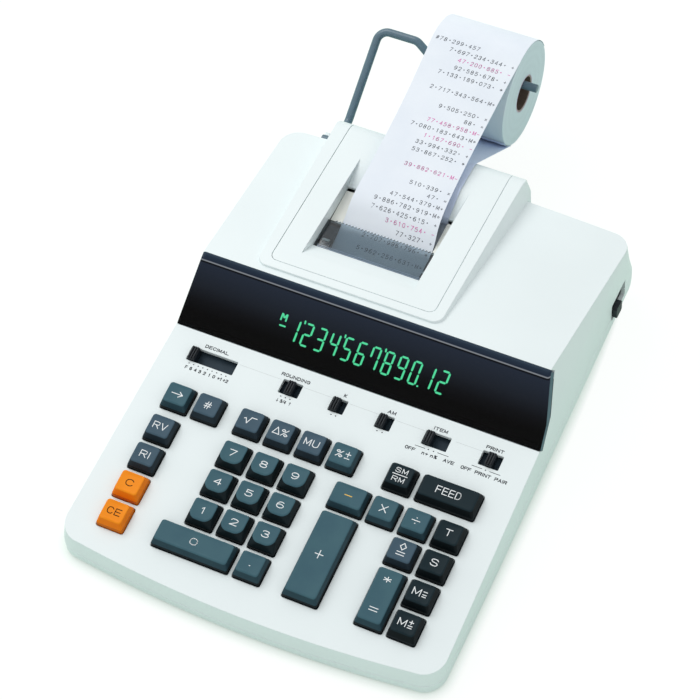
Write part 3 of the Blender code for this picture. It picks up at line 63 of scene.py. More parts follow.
deg = math.pi / 180
quarter = math.pi / 2
print("frame loaded:", len(nodes), "nodes")


# Shapes

def newPiece(name, mesh):
    piece = bpy.data.objects.new(name, mesh)
    bpy.context.scene.collection.objects.link(piece)
    return piece


def loft(name, *stacks, closed=False):  # solids through rings; closed joins the last to the first
    shape = bmesh.new()
    for rings in stacks:
        loops = [[shape.verts.new(point) for point in ring] for ring in rings]
        count = len(loops[0])
        pairs = list(zip(loops, loops[1:]))
        if closed:
            pairs.append((loops[-1], loops[0]))
        for lower, upper in pairs:
            for index in range(count):
                after = (index + 1) % count
                shape.faces.new((lower[index], lower[after], upper[after], upper[index]))
        if not closed:
            shape.faces.new(reversed(loops[0]))
            shape.faces.new(loops[-1])
    bmesh.ops.recalc_face_normals(shape, faces=shape.faces)
    mesh = bpy.data.meshes.new(name)
    shape.to_mesh(mesh)
    shape.free()
    return newPiece(name, mesh)


def applied(piece):  # modifiers and curves turned into a plain mesh
    bpy.context.view_layer.update()
    evaluated = piece.evaluated_get(bpy.context.evaluated_depsgraph_get())
    mesh = bpy.data.meshes.new_from_object(evaluated)
    mesh.transform(piece.matrix_world)
    name = piece.name
    bpy.data.objects.remove(piece)
    return newPiece(name, mesh)


def combined(piece, other, operation="DIFFERENCE"):  # a Boolean that uses up the other piece
    modifier = piece.modifiers.new("combine", "BOOLEAN")
    modifier.operation = operation
    modifier.solver = "EXACT"
    modifier.object = other
    result = applied(piece)
    bpy.data.objects.remove(other)
    return result


def eased(piece, width, segments, chosen):  # rounds the edges that a test picks
    shape = bmesh.new()
    shape.from_mesh(piece.data)
    bmesh.ops.remove_doubles(shape, verts=shape.verts, dist=0.01 * mm)
    bmesh.ops.dissolve_limit(shape, angle_limit=0.4 * deg, verts=shape.verts, edges=shape.edges)
    shape.normal_update()
    edges = [edge for edge in shape.edges if len(edge.link_faces) == 2 and chosen(edge)]
    bmesh.ops.bevel(shape, geom=edges, offset=width, offset_type="OFFSET", segments=segments,
                    profile=0.5, affect="EDGES", clamp_overlap=True)
    shape.to_mesh(piece.data)
    shape.free()
    return piece


def sharper(angle):
    return lambda edge: edge.calc_face_angle(0) > angle * deg


def finished(piece, body, *materials, sharp=32, slot=None, replaces=()):
    if materials:
        piece.data.materials.clear()
        for material in materials:
            piece.data.materials.append(material)
    piece.data.shade_smooth()
    piece.data.set_sharp_from_angle(angle=sharp * deg)
    weighted = piece.modifiers.new("even shading", "WEIGHTED_NORMAL")
    weighted.keep_sharp = True
    weighted.weight = 80
    if body:
        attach(piece, body)
    if replaces:
        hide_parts(*replaces)
    return piece


def arc(centre, radius, start, end, steps):
    angles = [start + (end - start) * step / steps for step in range(steps + 1)]
    return [Vector((centre[0] + radius * math.cos(angle), centre[1] + radius * math.sin(angle)))
            for angle in angles]


def circle(centre, radius, steps):
    return arc(centre, radius, 0, 4 * quarter, steps)[:-1]


def roundedBox(left, right, front, rear, near, far=None, steps=6):
    far = near if far is None else far
    points = arc((left + near, front + near), near, -2 * quarter, -quarter, steps)
    points += arc((right - near, front + near), near, -quarter, 0, steps)
    points += arc((right - far, rear - far), far, 0, quarter, steps)
    return points + arc((left + far, rear - far), far, quarter, 2 * quarter, steps)


def meet(first, firstAlong, second, secondAlong):  # where two lines of the side view cross
    across = firstAlong.x * secondAlong.y - firstAlong.y * secondAlong.x
    apart = second - first
    return first + firstAlong * ((apart.x * secondAlong.y - apart.y * secondAlong.x) / across)


def smooth(points, steps):  # a curve through every point
    curve = []
    ends = [points[0] * 2 - points[1]] + list(points) + [points[-1] * 2 - points[-2]]
    for before, start, end, after in zip(ends, ends[1:], ends[2:], ends[3:]):
        for step in range(steps):
            share = step / steps
            bend = (before * -1 + start * 3 - end * 3 + after) * share ** 3
            bend += (before * 2 - start * 5 + end * 4 - after) * share ** 2 + (end - before) * share
            curve.append((bend + start * 2) / 2)
    return curve + [points[-1]]


def tilt(angle):  # the directions along a face and out of it, in the side view
    return Vector((math.cos(angle), math.sin(angle))), Vector((-math.sin(angle), math.cos(angle)))


def setAt(point, angle, axis):  # a frame at a point, turned about one axis
    return Matrix.Translation(point) @ Matrix.Rotation(angle, 4, axis)


# Materials

def toLinear(code):  # sRGB hex to linear RGBA
    values = [int(code[start:start + 2], 16) / 255 for start in (1, 3, 5)]
    return [value / 12.92 if value <= 0.04045 else ((value + 0.055) / 1.055) ** 2.4
            for value in values] + [1]


def addNode(tree, kind, settings=None, links=None):
    node = tree.nodes.new("ShaderNode" + kind)
    for name, value in (settings or {}).items():
        if name in node.inputs:
            node.inputs[name].default_value = value
        else:
            setattr(node, name, value)
    for name, (source, output) in (links or {}).items():
        tree.links.new(source.outputs[output], node.inputs[name])
    return node


def newMaterial(name, **settings):
    material = bpy.data.materials.new(name)
    material.use_nodes = True
    tree = material.node_tree
    shader = tree.nodes["Principled BSDF"]
    for key, value in settings.items():
        shader.inputs[key.replace("_", " ")].default_value = value
    return material, tree, shader, addNode(tree, "TexCoord")


def mottle(tree, shader, coordinates, first, second, size):  # two close colours in soft patches
    patches = addNode(tree, "TexNoise", {"Scale": 1 / size, "Detail": 3.0},
                      {"Vector": (coordinates, "Object")})
    ramp = addNode(tree, "ValToRGB", None, {"Fac": (patches, "Fac")})
    ramp.color_ramp.elements[0].position = 0.3
    ramp.color_ramp.elements[1].position = 0.7
    ramp.color_ramp.elements[0].color = toLinear(first)
    ramp.color_ramp.elements[1].color = toLinear(second)
    tree.links.new(ramp.outputs["Color"], shader.inputs["Base Color"])


def grain(tree, shader, coordinates, size, height, roughness):  # raised grain, duller on its peaks
    noise = addNode(tree, "TexNoise", {"Scale": 1 / size, "Detail": 2.0},
                    {"Vector": (coordinates, "Object")})
    bump = addNode(tree, "Bump", {"Strength": 0.5, "Distance": height}, {"Height": (noise, "Fac")})
    tree.links.new(bump.outputs["Normal"], shader.inputs["Normal"])
    spread = addNode(tree, "MapRange", {"To Min": roughness[0], "To Max": roughness[1]},
                     {"Value": (noise, "Fac")})
    tree.links.new(spread.outputs["Result"], shader.inputs["Roughness"])


def plastic(name, first, second, patch, size, height, roughness, gloss=0.5):  # lengths in mm
    material, tree, shader, coordinates = newMaterial(name, IOR=1.53, Specular_IOR_Level=gloss)
    mottle(tree, shader, coordinates, first, second, patch * mm)
    grain(tree, shader, coordinates, size * mm, height * mm, roughness)
    return material


# Moulded ABS with a spark-eroded grain of 0.45 mm: a cool off-white satin, no sharp reflections
caseAbs = plastic("moulded ABS", "#e6f0f1", "#eaf4f5", 70, 0.45, 0.015, (0.42, 0.52))
# A darker copy of the case ABS: painted shade for a crease line in the deck
creaseShadeAbs = plastic("ABS crease shade", "#bcc4c4", "#c6cdcd", 9, 0.45, 0.005, (0.42, 0.52))
# The same resin on the inside of the printer, a shade creamier
guideAbs = plastic("cream moulded ABS", "#eef0e8", "#f3f5ee", 30, 0.4, 0.015, (0.4, 0.5))


# Double-shot key plastic, tumbled dull: low gloss, with a 0.3 mm grain
def keyPlastic(name, first, second):
    return plastic(name, first, second, 12, 0.3, 0.01, (0.38, 0.5), 0.08)


slateKey = keyPlastic("slate key plastic", "#3e5f6b", "#43656f")
violetKey = keyPlastic("grey violet key plastic", "#425866", "#465c6b")
darkKey = keyPlastic("dark slate key plastic", "#15252b", "#19292f")
orangeKey = keyPlastic("orange key plastic", "#f28b18", "#f7931f")
# The keys' flanks and skirts: darker copies of the cap plastics, painted shade where they stand in
# shade
slateFlankShade = keyPlastic("slate key flank shade", "#2a424c", "#2f4851")
violetFlankShade = keyPlastic("grey violet key flank shade", "#232f37", "#28343c")
darkFlankShade = keyPlastic("dark key flank shade", "#0a1114", "#0d1518")
digitFlankShade = keyPlastic("digit key flank shade", "#141f22", "#182428")
orangeFlankShade = keyPlastic("orange key flank shade", "#ee7c12", "#f28316")
keySkirtShade = keyPlastic("key skirt shade", "#0c1316", "#10181c")
orangeSkirtShade = keyPlastic("orange skirt shade", "#c9670f", "#d06f14")
# Glass-filled nylon: near black and dull, with a coarse 0.5 mm grain
nylon = plastic("glass filled nylon", "#0f161c", "#151d25", 6, 0.5, 0.02, (0.38, 0.52), 0.25)
slotNylon = plastic("slot floor nylon", "#22303a", "#293843", 9, 0.6, 0.02, (0.5, 0.6), 0.15)
shieldNylon = plastic("shield nylon", "#34434a", "#3d4c53", 6, 0.4, 0.01, (0.4, 0.5), 0.2)
# The window's sawn end, frosted: its grey-blue is painted light, the floor's light that it takes up
frostedEndLit = plastic("frosted acrylic end, painted light", "#4d6873", "#56727d", 6, 0.3, 0.01, (0.5, 0.6), 0.3)
# Moulded nitrile rubber: black and matt, with a soft bloom
rubber = plastic("nitrile rubber", "#161718", "#232526", 4, 0.5, 0.03, (0.7, 0.85))
# Pad-printed ink: a thin matt film of uneven density
navyInk = plastic("navy pad ink", "#101826", "#1a2434", 1.2, 0.3, 0.004, (0.5, 0.6))
blackInk = plastic("ribbon ink", "#2b2f3c", "#3f4453", 0.9, 0.25, 0.002, (0.6, 0.7))
redInk = plastic("red ribbon ink", "#cf2c98", "#db48ac", 0.9, 0.25, 0.002, (0.6, 0.7))
# Black masking print round the display, glossy
maskInk = plastic("black masking ink", "#0a0d0e", "#0e1213", 8, 0.5, 0.002, (0.2, 0.3), 0.3)
# The second shot of a key, which forms its legend
whiteLegend = plastic("white legend plastic", "#e9eef0", "#f1f5f6", 5, 0.3, 0.004, (0.4, 0.5), 0.1)
yellowLegend = plastic("yellow legend plastic", "#e8b93c", "#efc24a", 5, 0.3, 0.004, (0.4, 0.5))
darkLegend = plastic("brown legend plastic", "#211805", "#281d08", 5, 0.3, 0.004, (0.4, 0.5), 0.05)
endMark = plastic("paper end mark ink", "#cbaecb", "#d2b8d2", 2, 0.3, 0.004, (0.6, 0.7))
# Uncoated register paper: cool white and matt, short fibres stand up in it
paper = plastic("register paper", "#e5edf6", "#ecf3fa", 24, 0.4, 0.008, (0.8, 0.9))
# Steel wire in slate enamel: satin with an orange peel of about 1.2 mm
enamel = plastic("slate enamel", "#4d6674", "#56707f", 15, 1.2, 0.02, (0.28, 0.4))
# Soda glass over the display tube's dark grid: smooth and green-black
tubeGlass = plastic("tube glass", "#0b110f", "#101815", 10, 2, 0.002, (0.05, 0.1))
# Fibreglass board under green solder mask: glossy, with threads of 0.6 mm that show faintly
maskedBoard = plastic("solder masked fibreglass", "#1e5b38", "#246840", 0.6, 0.6, 0.01, (0.2, 0.3))
# Wound card of the paper core: brown and matt, with a paler sawn end
coreCard = plastic("core card", "#53463c", "#5e5046", 5, 0.5, 0.02, (0.8, 0.9))
coreEnd = plastic("sawn card end", "#a79c94", "#b5aaa2", 3, 0.4, 0.02, (0.8, 0.9))
# The underside of the same tape between roll and slot, which faces away from the lamp: its blue is
# painted shade
paperShadeAndHighlight = plastic("register paper back, painted shade and highlight", "#d0def6", "#d9e5fa", 24, 0.4, 0.008, (0.8, 0.9))


def smokedAcrylic(name, tint, index, gloss):  # polished cast acrylic, a lit tube shows through
    material, tree, shader, coordinates = newMaterial(
        name, IOR=index, Transmission_Weight=1.0, Base_Color=toLinear(tint),
        Specular_IOR_Level=gloss)
    polish = addNode(tree, "TexNoise", {"Scale": 1 / (40 * mm), "Detail": 1.0},
                     {"Vector": (coordinates, "Object")})
    haze = addNode(tree, "MapRange", {"To Min": 0.02, "To Max": 0.05}, {"Value": (polish, "Fac")})
    tree.links.new(haze.outputs["Result"], shader.inputs["Roughness"])
    return material


def paintedReflection(material, stops):  # painted reflection: a navy glow that rises with height, from stops of (height in mm, colour)
    tree = material.node_tree
    shader = tree.nodes["Principled BSDF"]
    height = addNode(tree, "SeparateXYZ", None, {"Vector": (addNode(tree, "TexCoord"), "Object")})
    low, high = stops[0][0], stops[-1][0]
    share = addNode(tree, "MapRange", {"From Min": low * mm, "From Max": high * mm},
                    {"Value": (height, "Z")})
    ramp = addNode(tree, "ValToRGB", None, {"Fac": (share, "Result")})
    points = ramp.color_ramp.elements
    while len(points) < len(stops):
        points.new(0.5)
    for point, (place, code) in zip(points, stops):
        point.position = (place - low) / (high - low)
        point.color = toLinear(code)
    tree.links.new(ramp.outputs["Color"], shader.inputs["Emission Color"])
    shader.inputs["Emission Strength"].default_value = 1.0


windowSheenAcrylic = smokedAcrylic("smoked acrylic", "#3c4146", 1.15, 0.3)
# painted reflection that grows towards the top, with a painted highlight line on the crease
paintedReflection(windowSheenAcrylic, (
    (43.0, "#000000"), (48.0, "#080a0e"), (54.0, "#161b23"), (63.0, "#1d2430"), (63.3, "#000000"),
    (63.8, "#000000"), (63.95, "#8a8e92"), (64.3, "#6a7078"), (64.45, "#141c2a"),
    (66.0, "#1e2a38"), (66.9, "#33404c")))
barAcrylic = smokedAcrylic("clear smoked acrylic", "#a9b8c0", 1.49, 0.5)


def galvanisedSteel():  # rolled zinc-coated sheet: streaks along X, 0.6 mm apart, and a spangle
    material, tree, shader, coordinates = newMaterial("galvanised sheet steel", Metallic=1.0)
    stretch = addNode(tree, "Mapping", None, {"Vector": (coordinates, "Object")})
    long, apart = 30 * mm, 0.6 * mm
    stretch.inputs["Scale"].default_value = (1 / long, 1 / apart, 1 / apart)
    streaks = addNode(tree, "TexNoise", {"Scale": 1.0, "Detail": 3.0},
                      {"Vector": (stretch, "Vector")})
    rough = addNode(tree, "MapRange", {"To Min": 0.28, "To Max": 0.48}, {"Value": (streaks, "Fac")})
    tree.links.new(rough.outputs["Result"], shader.inputs["Roughness"])
    mottle(tree, shader, coordinates, "#9a9fa3", "#b4b8ba", 7 * mm)
    return material


def litPhosphor():  # zinc oxide phosphor, lit: even blue-green, seen through smoked acrylic
    material, tree, shader, coordinates = newMaterial("lit phosphor", Roughness=0.6,
                                                      Base_Color=toLinear("#0a3a22"))
    shader.inputs["Emission Color"].default_value = toLinear("#54d38d")
    shader.inputs["Emission Strength"].default_value = 20.0
    powder = addNode(tree, "TexNoise", {"Scale": 1 / (0.3 * mm)},
                     {"Vector": (coordinates, "Object")})
    bump = addNode(tree, "Bump", {"Distance": 0.01 * mm}, {"Height": (powder, "Fac")})
    tree.links.new(bump.outputs["Normal"], shader.inputs["Normal"])
    return material


steel = galvanisedSteel()
phosphor = litPhosphor()
print("materials made")

# Camera, light and floor

studio = {
    "cameraPlace": (389.948, -703.952, 1131.506), "aim": (-13.33, -26.70, 30.0), "roll": -6.566,
    "lens": 123.63, "worldLight": 0.68, "lampPlace": (-900, 500, 1500), "lampSize": 1100,
    "lampPower": 13.5, "floorSize": 4000, "floorGlow": 1.08, "glowShare": (0.1, 0.85),
    "contactReach": 7,
}
aim = Vector(studio["aim"]) * mm
cameraPlace = Vector(studio["cameraPlace"]) * mm
camera = newPiece("camera", bpy.data.cameras.new("camera"))
camera.data.lens = studio["lens"]
camera.data.sensor_width = 36
camera.data.clip_start = 0.05
camera.data.clip_end = 20
level = (aim - cameraPlace).to_track_quat("-Z", "Y").to_matrix().to_4x4()
camera.matrix_world = Matrix.Translation(cameraPlace) @ level @ Matrix.Rotation(
    studio["roll"] * deg, 4, "Z")
bpy.context.scene.camera = camera

lampPlace = Vector(studio["lampPlace"]) * mm
lamp = newPiece("softbox", bpy.data.lights.new("softbox", "AREA"))
lamp.data.size = studio["lampSize"] * mm
lamp.data.energy = studio["lampPower"]
lamp.matrix_world = Matrix.Translation(lampPlace) @ (
    Vector((0, 0, 0)) - lampPlace).to_track_quat("-Z", "Y").to_matrix().to_4x4()


def seenDirectly(tree, kinds):  # 1 for the given kinds of ray, 0 for all others
    path = addNode(tree, "LightPath")
    total = None
    for kind in kinds:
        if total is None:
            total = (path, kind)
        else:
            node = addNode(tree, "Math", {"operation": "MAXIMUM"})
            tree.links.new(total[0].outputs[total[1]], node.inputs[0])
            tree.links.new(path.outputs[kind], node.inputs[1])
            total = (node, "Value")
    return total


world = bpy.data.worlds.new("studio")
bpy.context.scene.world = world
world.use_nodes = True
tree = world.node_tree
backdrop = tree.nodes["Background"]
backdrop.inputs["Color"].default_value = (1, 1, 1, 1)
seen = seenDirectly(tree, ("Is Camera Ray", "Is Glossy Ray", "Is Transmission Ray"))
strength = addNode(tree, "MapRange", {"To Min": studio["worldLight"], "To Max": 1.0},
                   {"Value": seen})
tree.links.new(strength.outputs["Result"], backdrop.inputs["Strength"])

# A paper sweep: matt and very pale, blown out to white except in the object's own shadow
floorMaterial, tree, shader, coordinates = newMaterial("pale paper sweep", Roughness=0.9,
                                                       Specular_IOR_Level=0.0)
mottle(tree, shader, coordinates, "#d4f1e1", "#d8f4e5", 300 * mm)
glow = addNode(tree, "Emission", {"Strength": studio["floorGlow"]})
mix = addNode(tree, "MixShader")
dim, bright = studio["glowShare"]
lit = addNode(tree, "MapRange", {"To Min": dim, "To Max": bright},
              {"Value": seenDirectly(tree, ("Is Camera Ray",))})
contact = addNode(tree, "AmbientOcclusion", {"Distance": studio["contactReach"] * mm})
share = addNode(tree, "Math", {"operation": "MULTIPLY"})
tree.links.new(lit.outputs["Result"], share.inputs[0])
tree.links.new(contact.outputs["AO"], share.inputs[1])
tree.links.new(share.outputs["Value"], mix.inputs["Fac"])
tree.links.new(shader.outputs["BSDF"], mix.inputs[1])
tree.links.new(glow.outputs["Emission"], mix.inputs[2])
tree.links.new(mix.outputs["Shader"], tree.nodes["Material Output"].inputs["Surface"])
floorMesh = bpy.data.meshes.new("floor")
half = studio["floorSize"] * mm / 2
floorMesh.from_pydata([(-half, -half, 0), (half, -half, 0), (half, half, 0), (-half, half, 0)], [],
                      [(0, 1, 2, 3)])
floor = newPiece("floor", floorMesh)
floorMesh.materials.append(floorMaterial)
floor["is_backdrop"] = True
bpy.context.scene.view_settings.view_transform = "Standard"
print("camera, light and floor placed")

# Case: sizes that the two halves, the hood and the cover share

case = {
    "wall": 2.5 * mm, "gap": 0.3 * mm, "overrun": 8.0 * mm,
    "deckTilt": 7.0, "deckHeight": 17.9 * mm, "deckLength": 148.39 * mm, "halfWidth": 114.645 * mm,
    "bandTilt": 44.87, "bandLength": 39.88 * mm, "returnTilt": 39.0, "returnLength": 4.4 * mm,
    "plateauFall": -6.84, "partingHeight": 7.5 * mm, "partingSlope": 0.065,
    "sideTaper": 0.01, "sideDraft": 0.154, "frontDraft": 0.15,
    "rearDraft": 0.36, "upperRearDraft": 0.14, "rearKnee": 13.0 * mm, "rearFlare": 7.8 * mm,
    "frontBow": 8.0 * mm, "rearBow": 4.0 * mm, "frontCorner": 13.0 * mm, "rearCorner": 12.0 * mm,
    "edgeRound": 1.9 * mm, "groove": 0.35 * mm, "shelf": 2.0 * mm, "windowThickness": 4.5 * mm,
    "apertureWidth": 126.0 * mm, "apertureHeight": 18.0 * mm, "apertureLow": 8.0 * mm,
    "slotCorner": 1.0 * mm, "frontTuckShare": 0.3,
    "rightSwell": ((0.0, 0.0), (13.0, 2.0), (28.0, 3.3), (60.0, -1.4)),
}
hood = {
    "setback": 4.6 * mm, "centreX": -18.15 * mm, "halfWidth": 56.35 * mm, "flare": 0.021,
    "draft": 0.32, "flank": 13.0 * mm, "step": 1.4 * mm, "fall": 0.0186, "length": 118.2 * mm,
    "overhang": 11.0 * mm, "rearRadius": 10.0 * mm, "corner": 7.0 * mm, "frontCorner": 6.0 * mm,
    "rise": 37.0 * mm, "upper": 5.0 * mm, "edgeRound": 2.2 * mm, "edgeAngle": 28.0,
    "edgeReach": 14.0 * mm,
}
wall, gap, overrun = case["wall"], case["gap"], case["overrun"]
deckAlong, deckOut = tilt(case["deckTilt"] * deg)
bandAlong, bandOut = tilt(case["bandTilt"] * deg)
returnAlong, returnOut = tilt(case["returnTilt"] * deg)
plateauAlong, plateauOut = tilt(case["plateauFall"] * deg)
deckFront = Vector((0, case["deckHeight"]))
bandFoot = deckFront + deckAlong * case["deckLength"]
bandCrease = bandFoot + bandAlong * case["bandLength"]
bandTop = bandCrease + returnAlong * case["returnLength"]
hoodFront = bandTop.x + hood["setback"]
hoodHeight = bandTop.y + hood["setback"] * math.tan(case["plateauFall"] * deg) + hood["step"]
hoodRear = hoodFront + hood["length"]
plateauLength = (hood["setback"] + hood["length"] - hood["overhang"]) / plateauAlong.x
plateauRear = bandTop + plateauAlong * plateauLength
caseRear = plateauRear.x + case["rearFlare"]
frontDepth = -case["frontDraft"] * (case["deckHeight"] - case["partingHeight"])
frontY = cadLow.y  # the front edge of the case is the foremost point of the model
middleDepth = frontDepth - frontY
wide = case["halfWidth"] + overrun


def place(x, depth, height):  # a point from its depth behind the deck's front edge
    return Vector((x, depth - middleDepth, height))


sideFrame = Matrix(((0, 0, 1, 0), (1, 0, 0, -middleDepth), (0, 1, 0, 0), (0, 0, 0, 1)))
deckFrame = setAt(place(0, 0, case["deckHeight"]), case["deckTilt"] * deg, "X")
bandFrame = setAt(place(0, bandFoot.x, bandFoot.y), case["bandTilt"] * deg, "X")


def prism(name, outline, low, high, matrix=sideFrame):
    return loft(name, [[matrix @ Vector((x, y, z)) for x, y in outline] for z in (low, high)])


def stack(levels, matrix):  # rings from (height, outline) in a frame
    return [[matrix @ Vector((x, y, height)) for x, y in outline] for height, outline in levels]


def parting(depth):
    return case["partingHeight"] + case["partingSlope"] * depth


def rightSwell(height):  # how much further out the right wall stands than the left one
    for (low, first), (high, second) in zip(case["rightSwell"], case["rightSwell"][1:]):
        if height <= high * mm:
            return (first + (second - first) * max(height / mm - low, 0.0) / (high - low)) * mm
    return second * mm


def caseRing(height, shrink=0.0, tuck=0.0):  # the case from above, at a height over the seam
    above = max(height, 0.0)
    swell = rightSwell(height)
    front = frontDepth + case["frontDraft"] * above + shrink
    front += tuck * case["frontTuckShare"]
    rear = caseRear - case["rearDraft"] * min(above, case["rearKnee"])
    rear -= case["upperRearDraft"] * max(height - case["rearKnee"], 0.0) + shrink + tuck

    def half(depth):
        return (case["halfWidth"] - case["sideTaper"] * depth - case["sideDraft"] * above - shrink
                - tuck)

    def frontLine(x):
        return front + case["frontBow"] * (x / case["halfWidth"]) ** 2

    def rearLine(x):
        return rear - case["rearBow"] * (x / case["halfWidth"]) ** 2

    near = case["frontCorner"] - shrink
    far = case["rearCorner"] - shrink
    frontX = half(front) - near
    rearX = half(rear) - far
    bowSteps, turnSteps = 20, 12
    across = [(2 * frontX + swell) * step / bowSteps - frontX for step in range(bowSteps)]
    outline = [(x, frontLine(x)) for x in across]
    outline += arc((frontX + swell, frontLine(frontX + swell) + near), near, -quarter, 0, turnSteps)
    outline += arc((rearX + swell, rearLine(rearX + swell) - far), far, 0, quarter, turnSteps)
    back = [rearX + swell - (2 * rearX + swell) * step / bowSteps for step in range(1, bowSteps)]
    outline += [(x, rearLine(x)) for x in back]
    outline += arc((-rearX, rearLine(rearX) - far), far, quarter, 2 * quarter, turnSteps)
    outline += arc((-frontX, frontLine(frontX) + near), near, 2 * quarter, 3 * quarter,
                   turnSteps)[:-1]
    return [place(x, depth, parting(depth) + height) for x, depth in outline]


def upperRings(shrink, low):
    return [caseRing(low, shrink)] + [caseRing(height * mm, shrink)
                                      for height, swell in case["rightSwell"][1:]]


def caseTop(deckWall, bandWall, plateauWall):  # the side view of the top faces, lowered by a wall
    start = deckFront - deckAlong * 2 * overrun - deckOut * deckWall
    foot = meet(start, deckAlong, bandFoot - bandOut * bandWall, bandAlong)
    plateauLine = bandTop - plateauOut * plateauWall
    end = plateauLine + plateauAlong * (plateauLength + 4 * overrun)
    outline = [Vector((start.x, -overrun)), start, foot]
    if bandWall > 0:
        outline.append(meet(foot, bandAlong, plateauLine, plateauAlong))
    else:
        outline += [bandCrease, bandTop]
    return outline + [end, Vector((end.x, -overrun))]


def hoodTop(depth):
    return hoodHeight - hood["fall"] * (depth - hoodFront)


def hoodRing(height, shrink=0.0):
    spread = hood["draft"] * min(hoodHeight - height, hood["flank"])

    def half(depth):
        return hood["halfWidth"] + hood["flare"] * (depth - hoodFront) + spread - shrink

    near = hood["frontCorner"] - shrink
    far = hood["corner"] - shrink
    front = hoodFront + shrink + near
    rear = hoodRear - shrink - far
    frontX = half(front) - near
    rearX = half(rear) - far
    outline = arc((-frontX, front), near, -2 * quarter, -quarter, 10)
    outline += arc((frontX, front), near, -quarter, 0, 10)
    outline += arc((rearX, rear), far, 0, quarter, 10)
    outline += arc((-rearX, rear), far, quarter, 2 * quarter, 10)
    return [place(x + hood["centreX"], depth, height) for x, depth in outline]


def hoodOutline(lowered):  # the side view of the hood's top and its rounded rear edge
    radius = hood["rearRadius"]
    centre = Vector((hoodRear - radius, hoodTop(hoodRear - radius) - radius))
    start = hoodFront - overrun
    foot = hoodHeight - hood["rise"] - overrun
    outline = [(start, foot), (start, hoodTop(start) - lowered)]
    return outline + arc(centre, radius - lowered, quarter, 0, 10) + [(hoodRear - lowered, foot)]


def hoodBlock(name, shrink, low):
    rings = [hoodRing(height, shrink) for height in (low, hoodHeight - hood["flank"],
                                                     hoodHeight + hood["upper"])]
    top = prism("hood_top", hoodOutline(shrink), hood["centreX"] - wide, hood["centreX"] + wide)
    return combined(loft(name, rings), top, "INTERSECT")


def hoodEdge(edge):  # between the hood's top and its flanks
    first, second = [face.normal for face in edge.link_faces]
    middle = (edge.verts[0].co + edge.verts[1].co) / 2
    return first.angle(second) > hood["edgeAngle"] * deg and (
        middle.z > hoodHeight - hood["edgeReach"])


def topEdge(edge):  # between a top face of the case and its walls
    normals = sorted((face.normal.z for face in edge.link_faces))
    return normals[1] > 0.6 and -0.2 < normals[0] < 0.5


# Keyboard places

keyboard = {
    "pitch": 19.05 * mm, "rowPitch": 18.6 * mm, "width": 16.2 * mm, "depth": 15.9 * mm,
    "frontMargin": 19.4 * mm, "shift": 0.35 * mm, "clearance": 0.35 * mm, "flare": 0.3 * mm,
    "toSlots": 16.9 * mm, "slotWidth": 8.8 * mm, "slotFlare": 0.2 * mm,
    "knobLength": 4.5 * mm, "knobStep": 2.85 * mm, "knobEndGap": 0.9 * mm,
    "openingCorner": 1.2 * mm, "slotCorner": 0.5 * mm, "proud": 0.1 * mm,
}
blockWidth = 9.16 * keyboard["pitch"] + keyboard["width"]
blockLeft = keyboard["shift"] - blockWidth / 2
slotFront = (keyboard["frontMargin"] + 4.15 * keyboard["rowPitch"] + keyboard["depth"]
             + keyboard["toSlots"])
slotRear = slotFront + keyboard["slotWidth"]

# name, column, row, extra columns to the left, extra rows to the rear, plastic
keyTable = (
    ("key_arrow", 0.0, 4.15, 0.0, 0.0, slateKey),
    ("key_number_sign", 1.0, 4.15, 0.0, 0.0, violetKey),
    ("key_root", 2.375, 4.15, 0.0, 0.0, violetKey),
    ("key_delta_percent", 3.375, 4.15, 0.0, 0.0, violetKey),
    ("key_mark_up", 4.375, 4.15, 0.0, 0.0, violetKey),
    ("key_percent_sign_change", 5.375, 4.15, 0.0, 0.0, slateKey),
    ("key_memory_store_recall", 7.16, 4.15, 0.0, 0.0, darkKey),
    ("key_paper_feed", 9.16, 4.15, 0.98, 0.0, darkKey),
    ("key_reverse", 0.0, 3.0, 0.0, 0.0, violetKey),
    ("key_7", 2.375, 3.0, 0.0, 0.0, slateKey),
    ("key_8", 3.375, 3.0, 0.0, 0.0, slateKey),
    ("key_9", 4.375, 3.0, 0.0, 0.0, slateKey),
    ("key_minus", 6.18, 3.0, 0.247, 0.0, slateKey),
    ("key_times", 7.16, 3.0, 0.0, 0.0, slateKey),
    ("key_divide", 8.16, 3.0, 0.0, 0.0, slateKey),
    ("key_total", 9.16, 3.0, 0.0, 0.0, darkKey),
    ("key_recall_item", 0.0, 2.0, 0.0, 0.0, violetKey),
    ("key_4", 2.375, 2.0, 0.0, 0.0, slateKey),
    ("key_5", 3.375, 2.0, 0.0, 0.0, slateKey),
    ("key_6", 4.375, 2.0, 0.0, 0.0, slateKey),
    ("key_diamond_equals", 8.16, 2.0, 0.0, 0.0, violetKey),
    ("key_subtotal", 9.16, 2.0, 0.0, 0.0, darkKey),
    ("key_clear", 0.0, 1.0, 0.0, 0.0, orangeKey),
    ("key_1", 2.375, 1.0, 0.0, 0.0, slateKey),
    ("key_2", 3.375, 1.0, 0.0, 0.0, slateKey),
    ("key_3", 4.375, 1.0, 0.0, 0.0, slateKey),
    ("key_memory_minus", 9.16, 1.0, 0.0, 0.0, darkKey),
    ("key_clear_entry", 0.0, 0.0, 0.0, 0.0, orangeKey),
    ("key_0", 3.375, 0.0, 1.6, 0.0, slateKey),
    ("key_point", 4.375, 0.0, 0.0, 0.0, slateKey),
    ("key_plus", 6.18, 0.0, 0.247, 2.0, slateKey),
    ("key_star_equals", 8.16, 0.0, 0.0, 1.0, slateKey),
    ("key_memory_plus", 9.16, 0.0, 0.0, 0.0, darkKey),
)
# name, centre as a share of the block of keys, stops, the stop that it rests at
sliderTable = (
    ("slider_decimal", 0.0766, 9, 0), ("slider_rounding", 0.3353, 3, 1),
    ("slider_constant", 0.4887, 2, 0), ("slider_add_mode", 0.6376, 2, 0),
    ("slider_item", 0.8015, 4, 0), ("slider_print", 0.9709, 3, 1),
)


def keyLimits(column, row, wider, deeper):
    right = blockLeft + keyboard["width"] + column * keyboard["pitch"]
    front = keyboard["frontMargin"] + row * keyboard["rowPitch"]
    return (right - keyboard["width"] - wider * keyboard["pitch"], right, front,
            front + keyboard["depth"] + deeper * keyboard["rowPitch"])


